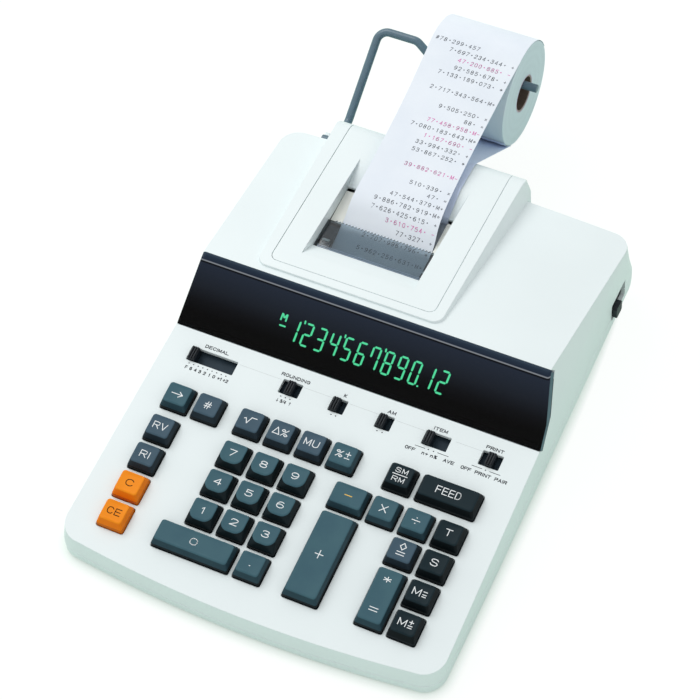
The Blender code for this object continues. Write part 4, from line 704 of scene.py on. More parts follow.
def slotLimits(centreShare, stops):
    travel = (stops - 1) * keyboard["knobStep"]
    length = keyboard["knobLength"] + 2 * keyboard["knobEndGap"] + travel
    centre = blockLeft + centreShare * blockWidth
    return centre - length / 2, centre + length / 2


# Top case

def openingStack(left, right, front, rear, corner, flare):
    levels, proud = [], keyboard["proud"]
    for height, grow in ((-overrun, 0), (-flare, 0), (proud, flare + proud),
                         (overrun, flare + proud)):
        levels.append((height, roundedBox(left - grow, right + grow, front - grow, rear + grow,
                                          corner + grow, steps=3)))
    return stack(levels, deckFrame)


openings = []
clear = keyboard["clearance"]
for name, column, row, wider, deeper, material in keyTable:
    left, right, front, rear = keyLimits(column, row, wider, deeper)
    openings.append(openingStack(left - clear, right + clear, front - clear, rear + clear,
                                 keyboard["openingCorner"], keyboard["flare"]))
for name, centreShare, stops, rest in sliderTable:
    left, right = slotLimits(centreShare, stops)
    openings.append(openingStack(left, right, slotFront, slotRear, keyboard["slotCorner"],
                                 keyboard["slotFlare"]))

cover = {
    "margin": 5.6 * mm, "frontMargin": 5.0 * mm, "corner": 4.5 * mm, "wall": 2.2 * mm,
    "skirt": 9.0 * mm, "rearSkirt": 17.0 * mm, "windowHalf": 33.3 * mm, "windowSetback": 15.5 * mm,
    "windowSlope": 12.0 * mm, "windowDepth": 6.4 * mm, "windowLength": 47.0 * mm,
    "leftExtra": 2.3 * mm, "rampDepth": 7.0 * mm,
    "rampLength": 16.6 * mm, "tubWall": 1.8 * mm, "paperX": -17.6 * mm,
    "edgeRound": 0.5 * mm,
}
windowFront = hoodFront + cover["windowSetback"]
windowOpen = windowFront + cover["windowSlope"]
windowRear = windowOpen + cover["windowLength"]
rampRear = windowRear + cover["rampLength"]
paperX = cover["paperX"]


def coverSpans(shrink):
    half = hood["halfWidth"] - cover["margin"]
    return (hood["centreX"] - half + shrink, hood["centreX"] + half - shrink,
            hoodFront + cover["frontMargin"] + shrink)


def coverPlan(name, shrink):  # the cover from above, with round front corners
    left, right, front = coverSpans(shrink)
    near = cover["corner"] - shrink
    rear = hoodRear + overrun
    outline = arc((left + near, front + near), near, -2 * quarter, -quarter, 10)
    outline += arc((right - near, front + near), near, -quarter, 0, 10)
    outline += [(right, rear), (left, rear)]
    low = hoodHeight - cover["rearSkirt"] + shrink
    return loft(name, [[place(x, depth, height) for x, depth in outline]
                       for height in (low, hoodHeight + overrun)])


def windowOutline(margin):  # the side view of the display window, grown on its hidden sides
    depth = case["windowThickness"] + margin
    start = bandFoot - bandAlong * margin
    end = bandTop + returnAlong * margin
    innerStart = start - bandOut * depth
    innerEnd = end - returnOut * depth
    corner = meet(innerStart, bandAlong, innerEnd, returnAlong)
    if margin == 0:
        return [start, innerStart, corner, innerEnd, end, bandCrease]
    start, end = start + bandOut * overrun, end + returnOut * overrun
    return [start, innerStart, corner, innerEnd, end, meet(start, bandAlong, end, returnAlong)]


powerSlot = {"setback": 45.0 * mm, "length": 21.0 * mm, "bottom": 20.0 * mm, "height": 14.0 * mm}


def powerCutter():
    start = caseRear - powerSlot["setback"]
    low = powerSlot["bottom"]
    outline = roundedBox(start, start + powerSlot["length"], low, low + powerSlot["height"],
                         case["slotCorner"])
    return prism("power_slot", outline, case["halfWidth"] - overrun * 2, wide)


groove = case["groove"]
shellRings = [caseRing(gap / 2, groove)] + upperRings(0.0, gap / 2 + groove)
topCase = combined(loft("top_case_shell", shellRings),
                   prism("over_case", caseTop(0, 0, 0), -wide, wide), "INTERSECT")
topCase = eased(topCase, case["edgeRound"], 5, topEdge)
hoodShell = hoodBlock("hood_shell", 0.0, hoodHeight - hood["rise"])
topCase = combined(topCase, eased(hoodShell, hood["edgeRound"], 5, hoodEdge), "UNION")
bandWall = case["windowThickness"] + gap + case["shelf"]
hollow = combined(loft("case_hollow", upperRings(wall, -overrun)),
                  prism("under_case", caseTop(wall, bandWall, wall), -wide, wide), "INTERSECT")
low = case["apertureLow"]
aperture = roundedBox(-case["apertureWidth"] / 2, case["apertureWidth"] / 2, low,
                      low + case["apertureHeight"], case["slotCorner"])
for cutter in (hollow, hoodBlock("hood_hollow", wall, hoodHeight - hood["rise"] + wall),
               prism("window_notch", windowOutline(gap), -wide, wide),
               prism("aperture", aperture, -bandWall - overrun, 0, bandFrame),
               loft("deck_openings", *openings), coverPlan("cover_opening", 0.0), powerCutter()):
    topCase = combined(topCase, cutter)
print("top case shaped:", len(topCase.data.polygons), "faces")

# Ear for the arm and hole for the cord gland, on the rear wall

arm = {
    "radius": 2.5 * mm, "backset": 7.2 * mm, "drop": 11.6 * mm, "sideX": -84.6 * mm,
    "earThickness": 3.2 * mm, "earWall": 2.2 * mm, "stub": 6.2 * mm,
    "bendReach": 21.7 * mm, "bendDrop": 7.0 * mm, "topReach": 72.0 * mm, "topRise": 24.5 * mm,
    "jogOuterX": -60.0 * mm, "jogInnerX": -50.5 * mm, "axleReach": 68.8 * mm,
    "axleRise": 18.5 * mm, "tipX": 19.0 * mm, "bend": 6.5 * mm,
    "earTop": 0.6 * mm, "earTurn": 12.0, "edgeRound": 0.5 * mm, "boreHalf": 10.0 * mm,
}
armPivot = Vector((plateauRear.x + arm["backset"], plateauRear.y - arm["drop"]))
clear = arm["radius"] + gap
earRadius = clear + arm["earWall"]
earHigh = arm["sideX"] - clear
foot = plateauRear.x - wall / 2
earTop = armPivot.y + arm["earTop"]
earOutline = arc(armPivot, earRadius, -quarter, arm["earTurn"] * deg, 14)
earOutline += [(armPivot.x + clear, earTop), (foot, earTop), (foot, armPivot.y - earRadius)]
ear = prism("arm_ear", earOutline, earHigh - arm["earThickness"], earHigh)
topCase = combined(topCase, eased(ear, arm["edgeRound"], 2, sharper(50)), "UNION")
topCase = combined(topCase, prism("arm_bore", circle(armPivot, clear, 32),
                                  earHigh - arm["boreHalf"], earHigh + arm["boreHalf"]))
glandSizes = {"x": 80.0 * mm, "radius": 4.0 * mm, "flange": 1.6 * mm, "bore": 2.6 * mm,
              "outside": 5.0 * mm, "inside": 3.0 * mm, "abovePartingLine": 8.0 * mm,
              "neckRound": 0.6 * mm, "flangeRound": 0.4 * mm}
glandDepth = (caseRear - case["rearDraft"] * glandSizes["abovePartingLine"]
              - case["rearBow"] * (glandSizes["x"] / case["halfWidth"]) ** 2)
glandFrame = setAt(place(glandSizes["x"], glandDepth,
                         parting(glandDepth) + glandSizes["abovePartingLine"]), -quarter, "X")
topCase = combined(topCase, prism("gland_hole", circle((0, 0), glandSizes["radius"] + gap, 32),
                                  -overrun, overrun, glandFrame))
seat = {"low": (-108.0, 1.0, -30.0), "high": (108.0, 33.0, -2.0)}  # in mm, from the band's foot
finished(topCase, "case", caseAbs, maskInk, slot="case_plastic", replaces=("top_case",))
toBand = bandFrame.inverted()
for polygon in topCase.data.polygons:  # the seat behind the window is masked black
    middle = toBand @ polygon.center
    if all(low * mm < value < high * mm
           for low, value, high in zip(seat["low"], middle, seat["high"])):
        polygon.material_index = 1
print("top case finished")

# Bottom case

pan = {"height": 25.0 * mm, "tuck": 15.0 * mm, "floor": 2.0 * mm, "footRadius": 7.0 * mm,
       "footRecess": 1.2 * mm, "footSide": 24.0 * mm, "footFront": 26.0 * mm, "footRear": 34.0 * mm,
       "edgeRound": 0.4 * mm, "span": 0.4,
       "tuckCurve": ((0, 0), (0.3, 0.01), (0.5, 0.06), (0.7, 0.25), (1, 1))}
tuckShares = smooth([Vector(pair) for pair in pan["tuckCurve"]], 4)
panRings = [caseRing(-gap / 2, groove)] + [
    caseRing(-pan["height"] * share.x - gap / 2 - groove, 0.0, pan["tuck"] * share.y)
    for share in tuckShares]
hollowRings = [caseRing(overrun, wall)] + [
    caseRing(-pan["height"] * share.x, wall, pan["tuck"] * share.y) for share in tuckShares]
bottomCase = loft("bottom_case_shell", panRings)


def slab(name, low, high):  # everything between two heights
    span = pan["span"]
    outline = [(-span, low), (span * 2, low), (span * 2, high), (-span, high)]
    return prism(name, outline, -span, span)


bottomCase = combined(bottomCase, slab("above_floor", pan["floor"], hoodHeight), "INTERSECT")
panHollow = combined(loft("pan_hollow", hollowRings),
                     slab("above_inner_floor", pan["floor"] + wall, hoodHeight), "INTERSECT")
bottomCase = combined(bottomCase, panHollow)
bottomCase = combined(bottomCase, powerCutter())
footPlaces = []
for depth in (pan["footFront"], caseRear - pan["footRear"]):
    for side in (-1, 1):
        footPlaces.append(place(side * (case["halfWidth"] - pan["footSide"]), depth, 0))
recesses = []
for spot in footPlaces:
    ring = circle(spot, pan["footRadius"] + gap, 32)
    recesses.append([[Vector((point.x, point.y, height)) for point in ring]
                     for height in (-overrun, pan["floor"] + pan["footRecess"])])
bottomCase = combined(bottomCase, loft("foot_recesses", *recesses))
bottomCase = eased(bottomCase, pan["edgeRound"], 2, sharper(60))
finished(bottomCase, "case", caseAbs, slot="case_plastic", replaces=("bottom_case",))
print("bottom case finished")

# Printer cover

left, right, front = coverSpans(gap)
printerCover = hoodBlock("printer_cover_shell", 0.0, hoodHeight - hood["rise"])
rear, high = hoodRear + overrun, hoodHeight + overrun
skirt = hoodHeight - cover["skirt"]
rearSkirt = hoodHeight - cover["rearSkirt"] + gap
step = hoodRear - wall * 2
coverSide = [(front, high), (front, skirt), (step, skirt), (step, rearSkirt), (rear, rearSkirt),
             (rear, high)]
printerCover = combined(printerCover, prism("cover_limits", coverSide, -wide, wide), "INTERSECT")
printerCover = combined(printerCover, coverPlan("cover_sides", gap), "INTERSECT")
inner = hoodOutline(cover["wall"])
start = front + cover["wall"]
inner[0] = (start, inner[0][1])
inner[1] = (start, hoodTop(start) - cover["wall"])
printerCover = combined(printerCover, prism("cover_hollow", inner, left + cover["wall"],
                                            right - cover["wall"]))
under, tubWall = cover["wall"] / 2, cover["tubWall"]
tubFloor = hoodTop(windowRear) - cover["rampDepth"] - tubWall
tub = [(windowFront - tubWall, hoodTop(windowFront) - under),
       (windowOpen - tubWall, hoodTop(windowOpen) - cover["windowDepth"] - tubWall),
       (windowOpen, tubFloor), (windowRear + tubWall, tubFloor),
       (rampRear, hoodTop(rampRear) - cover["wall"] - tubWall / 2),
       (rampRear + tubWall, hoodTop(rampRear) - under)]
recessLeft = paperX - cover["windowHalf"] - cover["leftExtra"]
recessRight = paperX + cover["windowHalf"]
printerCover = combined(printerCover, prism("cover_tub", tub, recessLeft - tubWall,
                                            recessRight + tubWall), "UNION")
recessFoot = hoodHeight - overrun * 2
recess = [(windowFront, high), (windowFront, hoodTop(windowFront)),
          (windowOpen, hoodTop(windowOpen) - cover["windowDepth"]), (windowOpen, recessFoot),
          (windowRear, recessFoot), (windowRear, hoodTop(windowRear) - cover["rampDepth"]),
          (rampRear, hoodTop(rampRear)), (rampRear, high)]
printerCover = combined(printerCover, prism("paper_recess", recess, recessLeft, recessRight))
printerCover = eased(printerCover, cover["edgeRound"], 2, sharper(35))
finished(printerCover, "case", caseAbs, slot="case_plastic", replaces=("printer_cover",))
print("printer cover finished")

# Display window and tube

window = combined(prism("display_window_slab", windowOutline(0.0), -wide, wide),
                  loft("window_ends", upperRings(0.0, 0.0)), "INTERSECT")


def endEdge(edge):  # between the window's front and its right end
    normals = sorted((face.normal.x for face in edge.link_faces))
    lowest = min(face.normal.z for face in edge.link_faces)
    return normals[1] > 0.8 and normals[0] < 0.3 and lowest > -0.3


windowRound = {"end": 1.6 * mm, "edges": 0.3 * mm}
window = eased(window, windowRound["end"], 4, endEdge)
window = eased(window, windowRound["edges"], 2, sharper(25))
finished(window, "case", windowSheenAcrylic, frostedEndLit, slot="smoked_window",
         replaces=("display_window",))
for polygon in window.data.polygons:
    if polygon.normal.x > 0.9:
        polygon.material_index = 1

display = {
    "pitch": 8.31 * mm, "firstX": -43.39 * mm, "midY": 16.8 * mm, "width": 4.4 * mm,
    "height": 12.9 * mm, "lean": 0.11, "stroke": 1.15 * mm, "break": 0.16 * mm, "depth": -7.05 * mm,
    "film": 0.03 * mm, "signStroke": 0.95 * mm, "signTip": 0.2 * mm,
    "tickPlace": (4.5, 7.8), "tickReach": (0.3, -2.3), "tickTip": 0.3 * mm,
    "pointPlace": (4.0, -7.1), "pointSize": 1.0 * mm, "pointTip": 0.1 * mm,
}
# a top, b right top, c right bottom, d bottom, e left bottom, f left top, g middle
segments = {"0": "abcdef", "1": "bc", "2": "abged", "3": "abgcd", "4": "fgbc", "5": "afgcd",
            "6": "afgedc", "7": "fabc", "8": "abcdefg", "9": "abcdfg"}


def bar(start, end, width, tip):  # a bar with pointed ends
    along = (end - start).normalized()
    side = Vector((-along.y, along.x)) * (width / 2)
    inward = along * tip
    return [start, start + inward - side, end - inward - side, end, end - inward + side,
            start + inward + side]


def digitBars(mark):
    w, h, b = display["width"] / 2, display["height"] / 2, display["break"]
    corners = {"a": ((-w, h), (w, h)), "b": ((w, h), (w, 0)), "c": ((w, 0), (w, -h)),
               "d": ((-w, -h), (w, -h)), "e": ((-w, 0), (-w, -h)), "f": ((-w, h), (-w, 0)),
               "g": ((-w, 0), (w, 0))}
    bars = []
    for letter in segments[mark]:
        start, end = [Vector(point) for point in corners[letter]]
        along = (end - start).normalized() * b
        bars.append(bar(start + along, end - along, display["stroke"], display["stroke"] / 2))
    return bars


glowing = []
for index, mark in enumerate("123456789012"):
    x = display["firstX"] + index * display["pitch"]
    shapes = digitBars(mark)
    if index in (0, 3, 6):  # the tick that parts the thousands
        spot = Vector([part * mm for part in display["tickPlace"]])
        shapes.append(bar(spot, spot + Vector(display["tickReach"]) * mm, display["signStroke"],
                          display["tickTip"]))
    if index == 9:  # the decimal point
        spot, size = Vector([part * mm for part in display["pointPlace"]]), display["pointSize"]
        shapes.append(bar(spot, spot + Vector((0, size)), size, display["pointTip"]))
    for outline in shapes:
        glowing.append([Vector((x + point.x + point.y * display["lean"], display["midY"] + point.y))
                        for point in outline])
memorySign = (((-52.6, 20.0), (-52.1, 24.5)), ((-51.9, 24.3), (-50.7, 21.8)),
              ((-50.7, 21.8), (-49.3, 24.3)), ((-49.1, 24.5), (-49.5, 20.0)),
              ((-52.7, 17.3), (-48.6, 17.3)))  # an M over a minus, in mm
for start, end in memorySign:
    glowing.append(bar(Vector(start) * mm, Vector(end) * mm, display["signStroke"],
                       display["signTip"]))
glass = display["depth"]
digits = loft("display_digits", *[
    stack(((glass, outline), (glass + display["film"], outline)), bandFrame)
    for outline in glowing])
finished(digits, "case", phosphor, slot="display_glass")
print("display finished")

# Lettering: strokes on a grid 4 wide and 6 high, where a tilde marks a curve

glyphs = {
    "0": "~2,0 0.5,0.8 0,3 0.5,5.2 2,6 3.5,5.2 4,3 3.5,0.8 2,0", "1": "0,4.8 1.3,6 1.3,0",
    "2": "~0.1,4.7 0.8,5.8 2.1,6 3.5,5.6 4,4.5 3.3,3.1 0,0|0,0 4,0",
    "3": "~0.2,5 0.9,5.8 2,6 3.4,5.6 3.7,4.5 3.1,3.5 1.6,3.2"
         "|~1.6,3.2 3.4,2.8 4,1.6 3.4,0.4 2,0 0.6,0.3 0,1.2",
    "4": "3,0 3,6 0,1.8 4,1.8",
    "5": "3.7,6 0.5,6 0.3,3.4|~0.3,3.4 1.3,3.8 2.6,3.8 3.7,3.1 4,1.9 3.4,0.6 2,0 0.7,0.2 0,1",
    "6": "~3.5,5.5 2.5,6 1.2,5.6 0.2,4 0,2 0.6,0.6 2,0 3.4,0.6 4,1.9 3.4,3.2 2,3.7 0.7,3.2 0.1,2.2",
    "7": "0,6 4,6 1.2,0",
    "8": "~2,3.2 0.7,3.7 0.3,4.7 0.8,5.7 2,6 3.2,5.7 3.7,4.7 3.3,3.7 2,3.2 "
         "0.6,2.7 0,1.6 0.6,0.4 2,0 3.4,0.4 4,1.6 3.4,2.7 2,3.2",
    "9": "~0.5,0.5 1.5,0 2.8,0.4 3.8,2 4,4 3.4,5.4 2,6 0.6,5.4 0,4.1 0.6,2.8 2,2.3 3.3,2.8 3.9,3.8",
    "A": "0,0 2,6 4,0|0.8,2 3.2,2",
    "C": "~3.9,4.7 3.2,5.7 2,6 0.6,5.3 0,3 0.6,0.7 2,0 3.2,0.3 3.9,1.3",
    "D": "0,6 0,0|~0,6 2,6 3.4,5.3 4,3 3.4,0.7 2,0 0,0", "E": "4,6 0,6 0,0 4,0|0,3.1 3.6,3.1",
    "F": "4,6 0,6 0,0|0,3 3.4,3",
    "G": "~3.9,4.8 3.1,5.8 2,6 0.6,5.3 0,3 0.6,0.7 2,0 3.3,0.4 4,1.4|4,1.4 4,2.9 2.3,2.9",
    "I": "0.25,0 0.25,6", "K": "0,0 0,6|4,6 0,2.4|1.4,3.6 4,0", "L": "0,6 0,0 4,0",
    "M": "0,0 0,6 2,0.9 4,6 4,0",
    "N": "0,0 0,6 4,0 4,6", "O": "~2,0 0.6,0.7 0,3 0.6,5.3 2,6 3.4,5.3 4,3 3.4,0.7 2,0",
    "P": "0,0 0,6|~0,6 2.6,6 3.8,5.5 4,4.5 3.8,3.4 2.6,2.9 0,2.9",
    "R": "0,0 0,6|~0,6 2.6,6 3.8,5.5 4,4.5 3.8,3.4 2.6,2.9 0,2.9|2,2.9 4,0",
    "S": "~3.8,4.9 3.2,5.8 2,6 0.7,5.7 0.2,4.6 0.8,3.5 2,3.1 "
         "3.3,2.7 3.9,1.5 3.3,0.3 2,0 0.7,0.3 0,1.3",
    "T": "0,6 4,6|2,6 2,0", "U": "0,6 0,2|~0,2 0.5,0.6 2,0 3.5,0.6 4,2|4,2 4,6",
    "V": "0,6 2,0 4,6",
    "x": "0.3,1.3 3.7,4.7|0.3,4.7 3.7,1.3",
    "%": "~1,6 0,5 1,4 2,5 1,6|3.8,6 0.2,0|~3,2 2,1 3,0 4,1 3,2",
    "#": "0.8,0 1.8,6|2.4,0 3.4,6|0,2 4,2|0.2,4 4.2,4", "+": "2,1 2,5|0.2,3 3.8,3",
    "-": "0.2,3 3.8,3",
    "=": "0.3,2 3.7,2|0.3,4 3.7,4", "*": "2,0.8 2,5.2|0.2,2 3.8,4|0.2,4 3.8,2",
    "n": "0.4,0 0.4,4|~0.4,2.8 1.2,3.8 2.4,4 3.3,3.4 3.5,2|3.5,2 3.5,0", "/": "0,0 4,6",
    ".": "0.1,0.4 0.4,0.4",
    "o": "2,1 0.4,3 2,5 3.6,3 2,1",
}
lettering = {"width": 4.0, "height": 6, "space": 1.7, "curveSteps": 3, "weight": 0.44,
             "narrow": {".": 0.5, "I": 0.5, "1": 1.6}}


def written(words, x, y, width, height, line):  # flat bars that spell words round a middle, in mm
    cells = [lettering["narrow"].get(mark, lettering["width"]) for mark in words]
    space = lettering["space"]
    across = (width - line) / (sum(cells) + space * (len(words) - 1))
    up = (height - line) / lettering["height"]
    start = x - (width - line) / 2
    points, faces = [], []
    for mark, cell in zip(words, cells):
        for path in glyphs[mark].split("|"):
            spots = [Vector([float(part) for part in pair.split(",")])
                     for pair in path.strip("~").split()]
            if path[0] == "~":
                spots = smooth(spots, lettering["curveSteps"])
            route = [((start + spot.x * across) * mm, (y + (spot.y - 3) * up) * mm)
                     for spot in spots]
            more, quads = strokes(route, line * mm)
            faces += [[len(points) + index for index in quad] for quad in quads]
            points += more
        start += (cell + space) * across
    return points, faces


def strokes(path, width):  # a polyline as flat bars
    points, faces = [], []
    for start, end in zip(path, path[1:]):
        start, end = Vector(start), Vector(end)
        along = (end - start).normalized() * (width / 2)
        side = Vector((-along.y, along.x))
        first = len(points)
        points += [start - along - side, end + along - side, end + along + side,
                   start - along + side]
        faces.append([first, first + 1, first + 2, first + 3])
    return points, faces


def plateOf(name, shapes, surface):  # flat shapes laid on a surface given as a function of (x, y)
    points, faces = [], []
    for shapePoints, shapeFaces in shapes:
        first = len(points)
        points += [surface(point.x, point.y) for point in shapePoints]
        faces += [[first + index for index in face] for face in shapeFaces]
    mesh = bpy.data.meshes.new(name)
    mesh.from_pydata(points, [], faces)
    mesh.update()
    return newPiece(name, mesh)


def dash(x, y, length, height=0.34):
    return strokes([((x - length / 2) * mm, y * mm), ((x + length / 2) * mm, y * mm)], height * mm)


def dot(x, y, size=0.62):
    return dash(x, y, 0.1, size)


# words on the deck: text, middle across and up the deck, width, in mm
deckWords = (
    ("DECIMAL", -80.6, 141.0, 15.0), ("ROUNDING", -31.0, 140.9, 17.6), ("K", -0.3, 140.9, 1.7),
    ("AM", 28.1, 140.8, 4.9), ("ITEM", 57.6, 140.8, 8.2), ("PRINT", 89.9, 140.7, 10.4),
    ("F", -92.4, 124.9, 1.4), ("6", -89.5, 124.9, 1.5), ("4", -86.6, 124.9, 1.6),
    ("3", -83.8, 124.9, 1.5), ("2", -80.8, 124.9, 1.5), ("1", -77.8, 124.9, 0.8),
    ("0", -74.9, 124.9, 1.6), ("+1", -71.4, 124.9, 2.8), ("+2", -67.6, 124.9, 3.3),
    ("5/4", -31.5, 124.9, 3.6), ("OFF", 46.2, 124.6, 6.0), ("n+", 55.1, 124.5, 3.9),
    ("n%", 60.3, 124.5, 4.2), ("AVE", 69.2, 124.6, 6.4), ("OFF", 79.5, 124.4, 6.0),
    ("PRINT", 89.5, 124.3, 9.4), ("PAIR", 100.0, 124.3, 7.2),
)
deckDashes = ((51.0, 127.3, 5.6), (64.6, 127.4, 6.2), (84.7, 127.4, 5.8), (95.3, 127.3, 6.0))
deckDots = ((89.9, 127.3), (55.9, 127.4), (59.0, 127.4), (24.9, 127.6), (28.0, 127.6),
            (-3.1, 127.5), (-0.3, 127.5), (-34.2, 127.6), (-31.3, 127.6), (-28.5, 127.6))
labels = [written(words, x, y, width, 2.1, lettering["weight"])
          for words, x, y, width in deckWords]
labels += [dash(*entry) for entry in deckDashes] + [dot(*entry) for entry in deckDots]
labels += [dot(-92.0 + 2.92 * step, 127.7) for step in range(9)]
arrow = {"middle": 124.9, "half": 0.95, "barb": 0.6, "spread": 0.5, "stem": 0.28, "head": 0.26}
for x, up in ((-35.0, -1), (-27.4, 1)):  # down and up, beside 5/4
    tip, foot = arrow["middle"] + up * arrow["half"], arrow["middle"] - up * arrow["half"]
    barb = (tip - up * arrow["barb"]) * mm
    labels.append(strokes([(x * mm, foot * mm), (x * mm, tip * mm)], arrow["stem"] * mm))
    labels.append(strokes([((x - arrow["spread"]) * mm, barb), (x * mm, tip * mm),
                           ((x + arrow["spread"]) * mm, barb)], arrow["head"] * mm))
inkFilm = 0.03 * mm


def onDeck(x, y):
    return deckFrame @ Vector((x, y, inkFilm))


finished(plateOf("deck_labels", labels, onDeck), "case", navyInk, slot="case_plastic")
# thin darker lines where the deck creases between the slots: painted shade
creaseShades = [dash((start + end) / 2, 137.2, end - start, 0.16) for start, end in
           ((-64.5, -38.5), (-24.5, -6.5), (4.0, 22.0), (32.5, 50.0), (68.0, 84.0))]
finished(plateOf("deck_crease_shade", creaseShades, onDeck), "case", creaseShadeAbs, slot="case_plastic")

# Keys: a dished cap on a skirt in painted shade, with its legend laid in the dish

cap = {
    "height": 6.0 * mm, "shoulder": 2.4 * mm, "sideInset": 1.4 * mm, "frontInset": 2.6 * mm,
    "rearInset": 1.2 * mm, "skirtCorner": 1.1 * mm, "topCorner": 1.7 * mm, "digitCorner": 5.0 * mm,
    "edgeRound": 0.45 * mm, "dish": 0.4 * mm, "skirtFoot": -3.9 * mm, "sideParts": 10,
    "shoulderRound": 0.2 * mm, "crown": 0.12 * mm, "flankTop": 0.5 * mm,
    "dishRings": (0.93, 0.84, 0.72, 0.58, 0.42, 0.24, 0.08),
}
digitKeys = {"key_%d" % number for number in range(1, 10)}


# a legend is of words (text, width, height, x, y, line) and of strokes "x,y x,y", all in mm
legendLine = {"word": 0.47, "stroke": 0.48}
legends = {
    "key_arrow": ("-3.4,0 2.6,0", "1,1.6 3.2,0 1,-1.6"), "key_number_sign": (("#", 4.2, 4.6),),
    "key_root": ("-3.4,0.4 -2.5,0.9 -1.2,-2 0.6,2 3.6,2",),
    "key_delta_percent": ("-4.3,-1.9 -2.3,2.1 -0.3,-1.9 -4.3,-1.9", ("%", 4.4, 4.4, 2.5)),
    "key_mark_up": (("MU", 8.8, 4.2),),
    "key_percent_sign_change": (("%", 4.2, 4.2, -2.2), "1.4,0.9 4.2,0.9", "2.8,-0.5 2.8,2.3",
                                "1.4,-1.7 4.2,-1.7"),
    "key_memory_store_recall": (("SM", 7.2, 3.0, 0, 2.7, 0.38), ("RM", 7.2, 3.0, 0, -2.7, 0.38),
                                "-4.2,0 4.2,0"),
    "key_paper_feed": (("FEED", 14.5, 4.4),), "key_reverse": (("RV", 8.4, 4.2),),
    "key_recall_item": (("RI", 6.0, 4.2),), "key_minus": ("-2,0 2,0",),
    "key_times": ("-1.9,-1.9 1.9,1.9", "-1.9,1.9 1.9,-1.9"),
    "key_divide": ("-2.2,0 2.2,0", "-0.1,1.7 0.1,1.7", "-0.1,-1.7 0.1,-1.7"),
    "key_total": (("T", 4.0, 4.0),), "key_subtotal": (("S", 4.4, 4.2),),
    "key_clear": (("C", 4.8, 4.2),), "key_clear_entry": (("CE", 8.4, 4.2),),
    "key_diamond_equals": ("-1.7,2.2 0,4.2 1.7,2.2 0,0.2 -1.7,2.2", "-2.2,-1.2 2.2,-1.2",
                           "-2.2,-2.8 2.2,-2.8"),
    "key_star_equals": (("*", 4.6, 4.4, 0, 9.6), "-2.3,-7.6 2.3,-7.6", "-2.3,-9.3 2.3,-9.3"),
    "key_memory_minus": (("M", 4.6, 4.2, -1.9), "1.7,1.2 3.7,1.2", "1.7,-0.5 3.7,-0.5",
                         "1.7,-1.7 3.7,-1.7"),
    "key_memory_plus": (("M", 4.6, 4.2, -1.9), "1.7,1.4 3.9,1.4", "2.8,0.4 2.8,2.4",
                        "1.7,-0.7 3.9,-0.7", "1.7,-1.9 3.9,-1.9"),
    "key_plus": ("-2.3,0 2.3,0", "0,-2.3 0,2.3"), "key_point": ("-0.15,-1.2 0.15,-1.2",),
    "key_0": (("0", 4.6, 4.2),), "key_1": (("1", 1.8, 4.0),),
}


def legendWord(text, width, height, x=0.0, y=0.0, line=legendLine["word"]):
    return written(text, x, y, width, height, line)


def legendShapes(name):
    shapes = []
    for mark in legends.get(name, ((name[-1], 4.4, 4.0),)):
        if isinstance(mark, str):
            path = [[float(part) * mm for part in pair.split(",")] for pair in mark.split()]
            shapes.append(strokes(path, legendLine["stroke"] * mm))
        else:
            shapes.append(legendWord(*mark))
    return shapes


def divided(outline, parts):  # a rounded box with its four long sides cut into equal parts
    count = len(outline) // 4
    points = []
    for index, point in enumerate(outline):
        points.append(point)
        if index % count == count - 1:
            after = outline[(index + 1) % len(outline)]
            points += [point + (after - point) * part / parts for part in range(1, parts)]
    return points
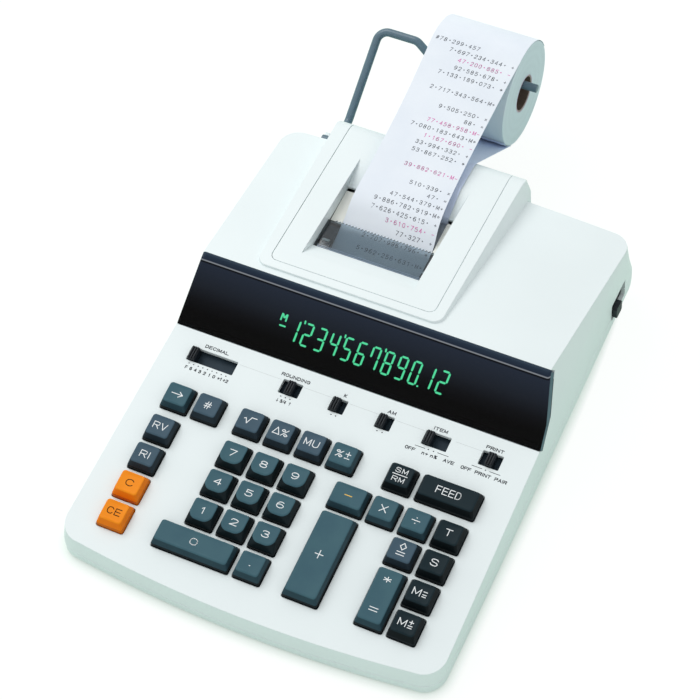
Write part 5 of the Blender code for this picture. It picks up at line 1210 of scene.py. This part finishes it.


# a key's flank and skirt, both in painted shade, its legend and slot, by the plastic of its cap
keyFinish = {
    slateKey: (slateFlankShade, keySkirtShade, whiteLegend, "slate_keys"),
    violetKey: (violetFlankShade, keySkirtShade, whiteLegend, "purple_keys"),
    darkKey: (darkFlankShade, keySkirtShade, whiteLegend, "dark_keys"),
    orangeKey: (orangeFlankShade, orangeSkirtShade, darkLegend, "orange_keys"),
}
for name, column, row, wider, deeper, material in keyTable:
    left, right, front, rear = keyLimits(column, row, wider, deeper)
    halfX, halfY = (right - left) / 2, (rear - front) / 2
    keyFrame = deckFrame @ Matrix.Translation(((left + right) / 2, (front + rear) / 2, 0))
    nearTop = cap["digitCorner"] if name in digitKeys else cap["topCorner"]
    side, near, far = cap["sideInset"], cap["frontInset"], cap["rearInset"]
    padX = halfX - side - cap["edgeRound"]
    padFront, padRear = near + cap["edgeRound"] - halfY, halfY - far - cap["edgeRound"]
    padY, padMiddle = (padRear - padFront) / 2, (padRear + padFront) / 2
    long = wider > 0.5 or deeper > 0.5
    dish = cap["dish"] * (0.5 if long else 1.0)

    def dished(x, y):
        acrossX = max(0.0, 1 - (x / padX) ** 2)
        acrossY = max(0.0, 1 - ((y - padMiddle) / padY) ** 2)
        return cap["height"] - dish * acrossX * min(1.0, acrossY * 3)

    def onCap(x, y):
        y += padMiddle
        return keyFrame @ Vector((x, y, dished(x, y) + inkFilm * 1.5))

    shoulder, top, corner = cap["shoulder"], cap["height"], cap["skirtCorner"]
    rings = []
    for height, share, bend in (
            (cap["skirtFoot"], 0, corner), (0.0, 0, corner),
            (shoulder - cap["shoulderRound"], 0.1, corner), (shoulder, 0.18, corner),
            (top - cap["edgeRound"], 0.93, nearTop), (top - cap["crown"], 1.05, nearTop),
            (top, 1.3, nearTop)):  # share is how far a ring has drawn in from the skirt
        outline = divided(roundedBox(
            -halfX + side * share, halfX - side * share, -halfY + near * share,
            halfY - far * share, bend, min(cap["topCorner"], bend)), cap["sideParts"])
        rings.append([keyFrame @ Vector((x, y, height)) for x, y in outline])
    for shrink in cap["dishRings"]:
        inner = [(x * shrink, padMiddle + (y - padMiddle) * shrink) for x, y in outline]
        rings.append([keyFrame @ Vector((x, y, dished(x, y))) for x, y in inner])
    flank, skirt, legendPlastic, slot = keyFinish[material]
    if name in digitKeys:
        flank = digitFlankShade
    if name == "key_minus":
        legendPlastic = yellowLegend
    keyCap = finished(loft(name + "_cap", rings), name, material, skirt, flank, sharp=40,
                      slot=slot, replaces=(name,))
    toKey = keyFrame.inverted()
    # the skirt below the shoulder and the flank up to near the top take the painted shade
    for polygon in keyCap.data.polygons:
        height = (toKey @ polygon.center).z
        if height < shoulder:
            polygon.material_index = 1
        elif height < top - cap["flankTop"]:
            polygon.material_index = 2
    finished(plateOf(name + "_legend", legendShapes(name), onCap), name, legendPlastic)
print("keys finished")

# Sliders: ribbed knobs over a dark slot floor

knob = {"height": 3.0 * mm, "ribFoot": 2.0 * mm, "ribWidth": 0.8 * mm, "ribPitch": 1.45 * mm,
        "foot": -3.9 * mm, "corner": 0.6 * mm, "ribCorner": 0.15 * mm, "ribInset": 0.3 * mm,
        "bevel": 0.3 * mm, "ribSink": 0.5 * mm, "ribBevel": 0.25 * mm, "ribTaper": 0.2 * mm}
slotFloor = {"top": -4.4 * mm, "thickness": 0.8 * mm, "margin": 1.5 * mm, "corner": 1.0 * mm}
margin = slotFloor["margin"]
slotFloors = []
for name, centreShare, stops, rest in sliderTable:
    left, right = slotLimits(centreShare, stops)
    outline = roundedBox(left - margin, right + margin, slotFront - margin, slotRear + margin,
                         slotFloor["corner"], steps=2)
    slotFloors.append(stack([(slotFloor["top"] - slotFloor["thickness"], outline),
                             (slotFloor["top"], outline)], deckFrame))
    x = left + keyboard["knobEndGap"] + keyboard["knobLength"] / 2 + rest * keyboard["knobStep"]
    halfX, halfY = keyboard["knobLength"] / 2, keyboard["slotWidth"] / 2 - gap
    knobFrame = deckFrame @ Matrix.Translation((x, (slotFront + slotRear) / 2, 0))
    levels = []
    for height, inset in ((knob["foot"], 0), (knob["ribFoot"] - knob["bevel"], 0),
                          (knob["ribFoot"], knob["bevel"])):
        levels.append((height, roundedBox(inset - halfX, halfX - inset, inset - halfY,
                                          halfY - inset, knob["corner"])))
    stacks = [stack(levels, knobFrame)]
    for rib in (-1, 0, 1):
        centre, reach = rib * knob["ribPitch"], knob["ribWidth"] / 2
        levels = []
        for height, inset in ((knob["ribFoot"] - knob["ribSink"], 0),
                              (knob["height"] - knob["ribBevel"], 0),
                              (knob["height"], knob["ribTaper"])):
            levels.append((height, roundedBox(
                centre - reach + inset, centre + reach - inset,
                inset * 4 - halfY + knob["ribInset"], halfY - knob["ribInset"] - inset * 4,
                knob["ribCorner"], steps=2)))
        stacks.append(stack(levels, knobFrame))
    finished(loft(name + "_knob", *stacks), name, nylon, slot="black_plastic", replaces=(name,))
finished(loft("slot_floors", *slotFloors), "case", slotNylon, slot="black_plastic")
print("sliders finished")

# Paper: the roll, its core, and the tape from the roll to the platen and back over the roll

axleDepth = armPivot.x + arm["axleReach"]
axleHeight = armPivot.y + arm["axleRise"]
roll = {"radius": 32.3 * mm, "hole": 10.5 * mm, "core": 1.3 * mm, "width": 56.0 * mm,
        "thickness": 0.2 * mm, "gap": 0.45 * mm, "edge": 0.2 * mm, "coreInset": 0.3 * mm,
        "coreGap": 0.05 * mm, "markRadius": 11.5 * mm, "markHalf": 0.16 * mm,
        "markSink": 0.1 * mm, "markRise": 0.03 * mm}
rollCentre = Vector((axleDepth, axleHeight + arm["radius"] + gap - roll["hole"]))


def turned(name, profile, matrix, steps=64, closed=False):  # (radius, height) turned round Z
    rings = [[matrix @ Vector((spot.x, spot.y, height)) for spot in circle((0, 0), radius, steps)]
             for radius, height in profile]
    return loft(name, rings, closed=closed)


rollFrame = setAt(place(paperX, rollCentre.x, rollCentre.y), quarter, "Y")
outer, hole, half = roll["radius"], roll["hole"] + roll["core"], roll["width"] / 2
edge = roll["edge"]
rollPiece = turned("paper_roll_wound", [
    (outer, half - edge), (outer - edge, half), (hole, half), (hole, -half),
    (outer - edge, -half), (outer, edge - half)], rollFrame, 96, closed=True)


# Cut edges of wound paper: matt rings drawn 0.9 mm apart so that they show; their blue-grey, darker
# than the tape's paper, is painted shade
def shadedWoundPaper():
    material, tree, shader, coordinates = newMaterial("wound paper, painted shade", IOR=1.45, Roughness=0.9)
    centre = addNode(tree, "Mapping", None, {"Vector": (coordinates, "Object")})
    centre.inputs["Location"].default_value = -rollFrame.translation
    rings = addNode(tree, "TexWave", {
        "wave_type": "RINGS", "rings_direction": "X", "Scale": 1 / (0.9 * mm) / 20,
        "Distortion": 1.5, "Detail": 2.0}, {"Vector": (centre, "Vector")})
    ramp = addNode(tree, "ValToRGB", None, {"Fac": (rings, "Fac")})
    ramp.color_ramp.elements[0].color = toLinear("#cfdee5")
    ramp.color_ramp.elements[1].color = toLinear("#d2e1e8")
    tree.links.new(ramp.outputs["Color"], shader.inputs["Base Color"])
    return material


finished(rollPiece, "paper_roll", shadedWoundPaper(), slot="paper", replaces=("paper_roll",))
mark, thin = roll["markRadius"], roll["markHalf"]
markLow, markHigh = half - roll["markSink"], half + roll["markRise"]
finished(turned("paper_end_mark", [
    (mark - thin, markLow), (mark + thin, markLow), (mark + thin, markHigh),
    (mark - thin, markHigh)], rollFrame, closed=True), "paper_roll", endMark, slot="paper")
inset, outside, inside = roll["coreInset"], hole - roll["coreGap"], roll["hole"] + roll["coreGap"]
core = turned("paper_core", [
    (outside, half - inset), (inside, half - inset), (inside, inset - half),
    (outside, inset - half)], rollFrame, closed=True)
finished(core, "paper_roll", coreCard, coreEnd, slot="paper")
for polygon in core.data.polygons:
    if abs(polygon.normal.x) > 0.9:
        polygon.material_index = 1

printer = {"platenRadius": 9.0 * mm, "platenBackset": 24.2 * mm, "platenDrop": 28.5 * mm,
           "feedSlot": 2.4 * mm, "ledgeLength": 16.5 * mm, "ledgeDrop": 10.0 * mm,
           "ledgeThickness": 2.0 * mm, "tearBarLength": 21.0 * mm, "rodRadius": 1.1 * mm,
           "rodBackset": 4.2 * mm, "rodDrop": 6.2 * mm}
platenCentre = Vector((windowOpen + printer["platenBackset"], hoodHeight - printer["platenDrop"]))
ledgeRear = windowRear - printer["feedSlot"]
ledgeFront = ledgeRear - printer["ledgeLength"]
ledgeTop = hoodTop(ledgeRear) - printer["ledgeDrop"]
turnRod = Vector((windowOpen + printer["rodBackset"], ledgeTop - printer["rodDrop"]))
rodRadius = printer["rodRadius"]


tape = {"wrap": 28.0, "end": 17.0, "underReach": 10.0 * mm, "underDrop": 1.5 * mm,
        "slopeReach": 12.0 * mm, "slopeDrop": 2.9 * mm, "crestRise": 4.5 * mm,
        "climbShare": 0.36, "sag": 1.2 * mm, "rightCurl": 2.3 * mm, "leftCurl": 1.5 * mm,
        "side": 0.05 * mm, "ink": 0.04 * mm,
        "stripBend": (-24 * mm, 41 * mm), "webBend": (7 * mm, 51 * mm)}


def tapePath():  # its path in the side view, and where on the strip its mouth and landing are
    around, lift = roll["radius"] + roll["gap"], Vector((0, roll["gap"] * 2))
    edge = Vector((hoodRear - hood["rearRadius"], hoodTop(hoodRear - hood["rearRadius"])))
    corner = edge - Vector((0, hood["rearRadius"]))
    bend = hood["rearRadius"] + roll["gap"] * 2
    apart = rollCentre - corner
    leave = math.atan2(apart.y, apart.x) + math.acos((bend + around) / apart.length)
    below = leave - math.pi
    web = arc(rollCentre, around, below - tape["wrap"] * deg, below, 10)
    web += arc(corner, bend, leave, quarter, 10)
    hug = printer["platenRadius"] + roll["gap"]
    rampFoot = hoodTop(windowRear) - cover["rampDepth"]
    web += [Vector((rampRear, hoodTop(rampRear))) + lift, Vector((windowRear, rampFoot)) + lift]
    web.append(Vector((windowRear - printer["feedSlot"] / 2, rampFoot - printer["feedSlot"] / 2)))
    drop = Vector((ledgeRear + printer["feedSlot"] / 3, ledgeTop - printer["ledgeThickness"] * 4))
    web.append(drop)
    fall = drop - platenCentre
    meeting = math.atan2(fall.y, fall.x) - math.acos(hug / fall.length)
    web += arc(platenCentre, hug, meeting, -math.pi, 24)
    mouth = Vector(((windowOpen + printer["tearBarLength"] + ledgeFront) / 2,
                    ledgeTop + printer["feedSlot"] / 2))
    stripStart = web[-1] + Vector((0, printer["platenRadius"] * 0.6))
    halfTurn = arc(turnRod, rodRadius + roll["gap"], -quarter, -3 * quarter, 12)
    under = Vector((windowOpen + tape["underReach"], turnRod.y - tape["underDrop"]))
    slope = Vector((windowOpen + tape["slopeReach"], ledgeTop - tape["slopeDrop"]))
    crest = Vector((rampRear, hoodTop(rampRear) + tape["crestRise"]))
    toRoll = rollCentre - crest
    touch = math.atan2(toRoll.y, toRoll.x) + math.asin(around / toRoll.length) + quarter
    climb = mouth + (crest - mouth) * tape["climbShare"] + Vector((0, tape["crestRise"]))
    landing = rollCentre + Vector((math.cos(touch), math.sin(touch))) * around
    sag = (crest + landing) / 2 - Vector((0, tape["sag"]))
    strip = smooth([stripStart, under, halfTurn[0]], 6)[:-1] + halfTurn[:-1]
    strip += smooth([halfTurn[-1], slope, mouth, climb, crest, sag, landing], 10)[:-1]
    strip += arc(rollCentre, around, touch, tape["end"] * deg, 30)
    return web, strip, [min(range(len(strip)), key=lambda index: (strip[index] - spot).length)
                        for spot in (mouth, landing)]


web, strip, (mouthAt, landingAt) = tapePath()


def sideOf(path, index):
    along = (path[min(index + 1, len(path) - 1)] - path[max(index - 1, 0)]).normalized()
    return Vector((-along.y, along.x))


def curled(index, depth):  # how far an edge of the strip stands in where it hangs free
    share = min(max((index - mouthAt) / (landingAt - mouthAt), 0.0), 1.0)
    return depth * math.sin(share ** 1.3 * math.pi)


def follow(piece, start, end):  # bakes the piece's placing into its mesh; start and end, two depths from the arm's pivot, are not used
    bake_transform(piece)


def sheetRings(path, curl):
    rings = []
    for index, point in enumerate(path):
        right = half - curl * curled(index, tape["rightCurl"]) - tape["side"]
        left = curl * curled(index, tape["leftCurl"]) + tape["side"] - half
        off = sideOf(path, index) * roll["thickness"] / 2
        rings.append([place(paperX + x, side.x, side.y) for x, side in (
            (left, point + off), (right, point + off), (right, point - off), (left, point - off))])
    return rings


tapeWeb = finished(loft("paper_tape_web", sheetRings(web + strip[:1], 0)), None, paperShadeAndHighlight,
                   slot="paper")
follow(tapeWeb, *tape["webBend"])
tapeStrip = finished(loft("paper_tape_strip", sheetRings(strip, 1)), None, paper, slot="paper",
                     replaces=("paper_tape",))
follow(tapeStrip, *tape["stripBend"])

reach = [0.0]
for before, after in zip(strip, strip[1:]):
    reach.append(reach[-1] + (after - before).length)


def onStrip(x, along):  # a point just above the printed side of the strip
    index = max(i for i in range(len(strip) - 1) if reach[i] <= max(along, 0))
    x -= curled(index, tape["rightCurl"]) * 0.8
    share = (along - reach[index]) / (reach[index + 1] - reach[index])
    point = strip[index] + (strip[index + 1] - strip[index]) * share
    out = sideOf(strip, index) * (1 - share) + sideOf(strip, index + 1) * share
    point = point + out * (roll["thickness"] / 2 + tape["ink"])
    return place(paperX + x, point.x, point.y)


printing = {"firstLine": -7.9, "pitch": 5.34, "height": 2.7, "advance": 2.62, "signX": 25.6,
            "endX": 20.6, "numberedEndX": 1.4, "line": 0.3, "width": 1.75, "narrow": 0.9,
            "shift": {0: -0.9, 1: -0.35}}  # the two lines under the tear bar stand further forward
random.seed(1213)
# from the bar up: digits, a memory mark or none, the sign, and r for the ribbon's red half
rows = ("10M+ 10* 5+ 7-r 10+ 10Mo 8M+ 2= 6x . 8M-r . 8* 8+ 7-r 10Mo 8M-r 2= 7x . 10M+ . "
        "10* 8+ 8-r 10+ 8#").split()
blackLines, redLines = [], []
for line, row in enumerate(rows):
    step = line + printing["shift"].get(line, 0)
    along = reach[mouthAt] / mm + printing["firstLine"] + step * printing["pitch"]
    if row == ".":
        continue
    ink = redLines if row[-1] == "r" else blackLines
    row = row.rstrip("r")
    count = int("".join(mark for mark in row if mark.isdigit()))
    number = random.randint(10 ** (count - 1), 10 ** count - 1)
    marks = "{:,}".format(number).replace(",", ".") + "."
    endX, height, weight = printing["endX"], printing["height"], printing["line"]
    if row[-1] == "#":  # a numbered line stands at the left
        marks = "#" + marks.rstrip(".")
        endX = printing["numberedEndX"]
    else:
        ink.append(written(row[-1], printing["signX"], along, 1.6, 2.2, weight))
    for column, mark in enumerate(reversed(marks)):
        x = endX - column * printing["advance"]
        if mark == ".":
            ink.append(written(mark, x, along + 0.1, 0.75, 0.7, 0.65))
        else:
            width = printing["narrow"] if mark == "1" else printing["width"]
            ink.append(written(mark, x, along, width, height, weight))
    if "M" in row:
        ink.append(written("M", endX + printing["advance"], along, 1.9, height, weight))
for name, shapes, ink in (("printed_lines", blackLines, blackInk),
                          ("printed_red_lines", redLines, redInk)):
    printed = finished(plateOf(name, shapes, onStrip), None, ink, slot="paper")
    follow(printed, *tape["stripBend"])
print("paper finished")

# Paper guides beside the tape and the dark shields under the tear bar

guide = {"gap": 0.12 * mm, "rise": 2.2 * mm, "thickness": 3.0 * mm, "frontRise": 0.7 * mm,
         "lip": 0.05 * mm, "round": 0.3 * mm, "barDrop": 7.6 * mm}
shield = {"drop": 4.2 * mm, "thickness": 1.0 * mm, "setback": 2.0 * mm, "tabPlace": 9.0 * mm,
          "tabWidth": 4.4 * mm, "tabLength": 1.7 * mm, "tabRise": 0.4 * mm}
barRear = windowOpen + printer["tearBarLength"] + gap * 2
barHeight = hoodTop(windowOpen) - guide["barDrop"]
windowHalf = cover["windowHalf"]


def plate(name, front, rear, foot, top, low, high, material, slot):  # a flat plate in the side view
    outline = [(front, foot), (rear, foot), (rear, top), (front, top)]
    finished(prism(name, outline, low, high), "case", material, slot=slot)


for side, low, high in (("left", -windowHalf - cover["leftExtra"], -half),
                        ("right", half, windowHalf)):
    low, high = paperX + low + guide["gap"], paperX + high - guide["gap"]
    outline = [(barRear, ledgeTop), (barRear, ledgeTop - guide["thickness"] * 0.4),
               (ledgeFront, ledgeTop + guide["lip"]), (ledgeRear, ledgeTop + guide["lip"]),
               (ledgeRear, ledgeTop + guide["rise"]), (barRear, ledgeTop + guide["frontRise"])]
    paperGuide = prism("paper_guide_" + side, outline, low, high)
    finished(eased(paperGuide, guide["round"], 2, sharper(30)), "case", guideAbs,
             slot="case_plastic")
    top = barHeight - shield["drop"]
    plate("ribbon_shield_" + side, windowOpen + gap, barRear - shield["setback"],
          top - shield["thickness"], top, low, high, shieldNylon, "black_plastic")
    middle, tab = (low + high) / 2, windowOpen + shield["tabPlace"]
    across, along = shield["tabWidth"] / 2, shield["tabLength"] / 2
    plate("shield_tab_" + side, tab - along, tab + along, top, top + shield["tabRise"],
          middle - across, middle + across, guideAbs, "case_plastic")
rodRings = [[place(x, point.x, point.y) for point in circle(turnRod, rodRadius, 24)]
            for x in (paperX - windowHalf, paperX + windowHalf)]
finished(loft("paper_turn_rod", rodRings), "case", steel, slot="frame_steel")
ribbon = {"top": hoodHeight - 13.6 * mm, "foot": hoodHeight - 20.4 * mm,
          "spoolRadius": 5.4 * mm, "spoolX": 34.6 * mm, "spoolDepth": windowOpen + 4.2 * mm,
          "trayFront": windowOpen - 4.7 * mm, "trayRear": windowOpen + 1.2 * mm,
          "trayHalf": 40.0 * mm, "trayHeight": 1.4 * mm, "trayCorner": 1.5 * mm,
          "round": 0.4 * mm}
stacks = []
for side in (-1, 1):
    levels = [(height, circle((0, 0), ribbon["spoolRadius"] - inset, 40)) for height, inset in (
        (ribbon["foot"], 0), (ribbon["top"] - ribbon["round"], 0),
        (ribbon["top"], ribbon["round"]))]
    spool = place(paperX + side * ribbon["spoolX"], ribbon["spoolDepth"], 0)
    stacks.append(stack(levels, Matrix.Translation(spool)))
tray = roundedBox(paperX - ribbon["trayHalf"], paperX + ribbon["trayHalf"],
                  ribbon["trayFront"] - middleDepth, ribbon["trayRear"] - middleDepth,
                  ribbon["trayCorner"])
stacks.append([[Vector((x, y, height)) for x, y in tray]
               for height in (ribbon["foot"], ribbon["foot"] + ribbon["trayHeight"])])
finished(loft("ribbon_cartridge_spools", *stacks), "case", nylon, slot="black_plastic",
         replaces=("ribbon_cartridge",))
# Thin strips along the tear bar's front edge in the pale blue paper colour: painted highlights
glintStrip = {"foot": 0.02 * mm, "top": 0.12 * mm,
         "spans": ((0.5 * mm, 0.5 * mm), (1.6 * mm, 0.35 * mm))}  # start and width from the front
highlightLines = []
lineLow, lineHigh = barHeight + glintStrip["foot"], barHeight + glintStrip["top"]
for start, size in glintStrip["spans"]:
    low, high = windowOpen + gap + start, windowOpen + gap + start + size
    outline = [(low, lineLow), (high, lineLow), (high, lineHigh), (low, lineHigh)]
    highlightLines.append([[place(x, depth, height) for depth, height in outline]
                      for x in (paperX - windowHalf, paperX + windowHalf - gap * 2)])
finished(loft("tear_bar_glint_strips", *highlightLines), "case", paperShadeAndHighlight, slot="clear_plastic")
print("guides finished")

# Wire arm

def roundedRoute(points, radius, steps):  # a route with round corners, none past a leg's end
    route = [points[0]]
    for before, corner, after in zip(points, points[1:], points[2:]):
        back, ahead = (before - corner).normalized(), (after - corner).normalized()
        angle = back.angle(ahead)
        shorter = min((before - corner).length, (after - corner).length)
        reachOut = min(radius / math.tan(angle / 2), shorter * 0.45)
        bend = reachOut * math.tan(angle / 2)
        centre = corner + (back + ahead).normalized() * (bend / math.sin(angle / 2))
        start, end = corner + back * reachOut - centre, corner + ahead * reachOut - centre
        turn = start.angle(end)
        for step in range(steps + 1):
            share = step / steps
            spoke = start * math.sin(turn * (1 - share)) + end * math.sin(turn * share)
            route.append(centre + spoke / math.sin(turn))
    return route + [points[-1]]


def onArm(x, reachOut=0, rise=0):
    return place(x, armPivot.x + reachOut, armPivot.y + rise)


sideX, top = arm["sideX"], (arm["topReach"], arm["topRise"])
axle = (arm["axleReach"], arm["axleRise"])
armRoute = roundedRoute([
    onArm(sideX - arm["stub"]), onArm(sideX), onArm(sideX, arm["bendReach"], -arm["bendDrop"]),
    onArm(sideX, *top), onArm(arm["jogOuterX"], *top), onArm(arm["jogInnerX"], *axle),
    onArm(arm["tipX"], *axle),
], arm["bend"], 12)
armCurve = bpy.data.curves.new("paper_arm_wire", "CURVE")
armCurve.dimensions = "3D"
armCurve.bevel_depth = arm["radius"]
armCurve.bevel_resolution = 8
armCurve.use_fill_caps = True
spline = armCurve.splines.new("POLY")
spline.points.add(len(armRoute) - 1)
for point, target in zip(spline.points, armRoute):
    point.co = (*target, 1)
armPiece = eased(applied(newPiece("paper_arm_wire", armCurve)), arm["edgeRound"], 2, sharper(60))
finished(armPiece, "paper_arm", enamel, slot="painted_wire", replaces=("paper_arm",))
print("arm finished")

# Feet and cord gland

footNames = ("foot_front_left", "foot_front_right", "foot_rear_left", "foot_rear_right")
pad = {"dish": 0.5 * mm, "rimSlope": 2.5 * mm, "rimInside": 2.0 * mm, "rimOutside": 0.6 * mm}
top, radius, dish = pan["floor"] + pan["footRecess"] - gap, pan["footRadius"], pad["dish"]
profile = [  # dished below, so that only a rim touches the table
    (dish, dish), (radius - pad["rimSlope"], dish), (radius - pad["rimInside"], 0),
    (radius - pad["rimOutside"], 0), (radius, dish), (radius, top), (dish, top)]
for name, spot in zip(footNames, footPlaces):
    finished(turned(name + "_pad", profile, Matrix.Translation(spot), 48), "case", rubber,
             slot="black_rubber", replaces=(name,))
neck, flange = glandSizes["radius"], glandSizes["radius"] + glandSizes["flange"]
lip = case["rearDraft"] * flange
outside, inside = glandSizes["outside"], -wall - gap * 2 - lip
rimHeight = lip + glandSizes["flange"]
profile = [
    (neck - glandSizes["neckRound"], outside), (neck, outside - glandSizes["neckRound"]),
    (neck, rimHeight), (flange - glandSizes["flangeRound"], rimHeight),
    (flange, rimHeight - glandSizes["flangeRound"]), (flange, lip), (neck, lip),
    (neck, inside), (flange, inside), (flange, inside - glandSizes["flange"]),
    (neck, inside - glandSizes["flange"]), (glandSizes["bore"], inside - glandSizes["inside"]),
    (glandSizes["bore"], outside)]
finished(turned("cord_gland_bush", profile, glandFrame, 40, closed=True), "case", rubber,
         slot="black_rubber", replaces=("cord_gland",))

# Solids that stay as the model has them, each with its real material

for name, material in (
        ("display_tube", tubeGlass), ("key_board", maskedBoard), ("tear_bar", barAcrylic),
        ("printer_frame", steel), ("platen_roller", rubber), ("print_carriage", nylon),
        ("transformer", steel), ("power_slider", nylon)):
    for entry in nodes[name].material_slots:
        entry.material = material
print("carried-over solids finished")

low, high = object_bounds()
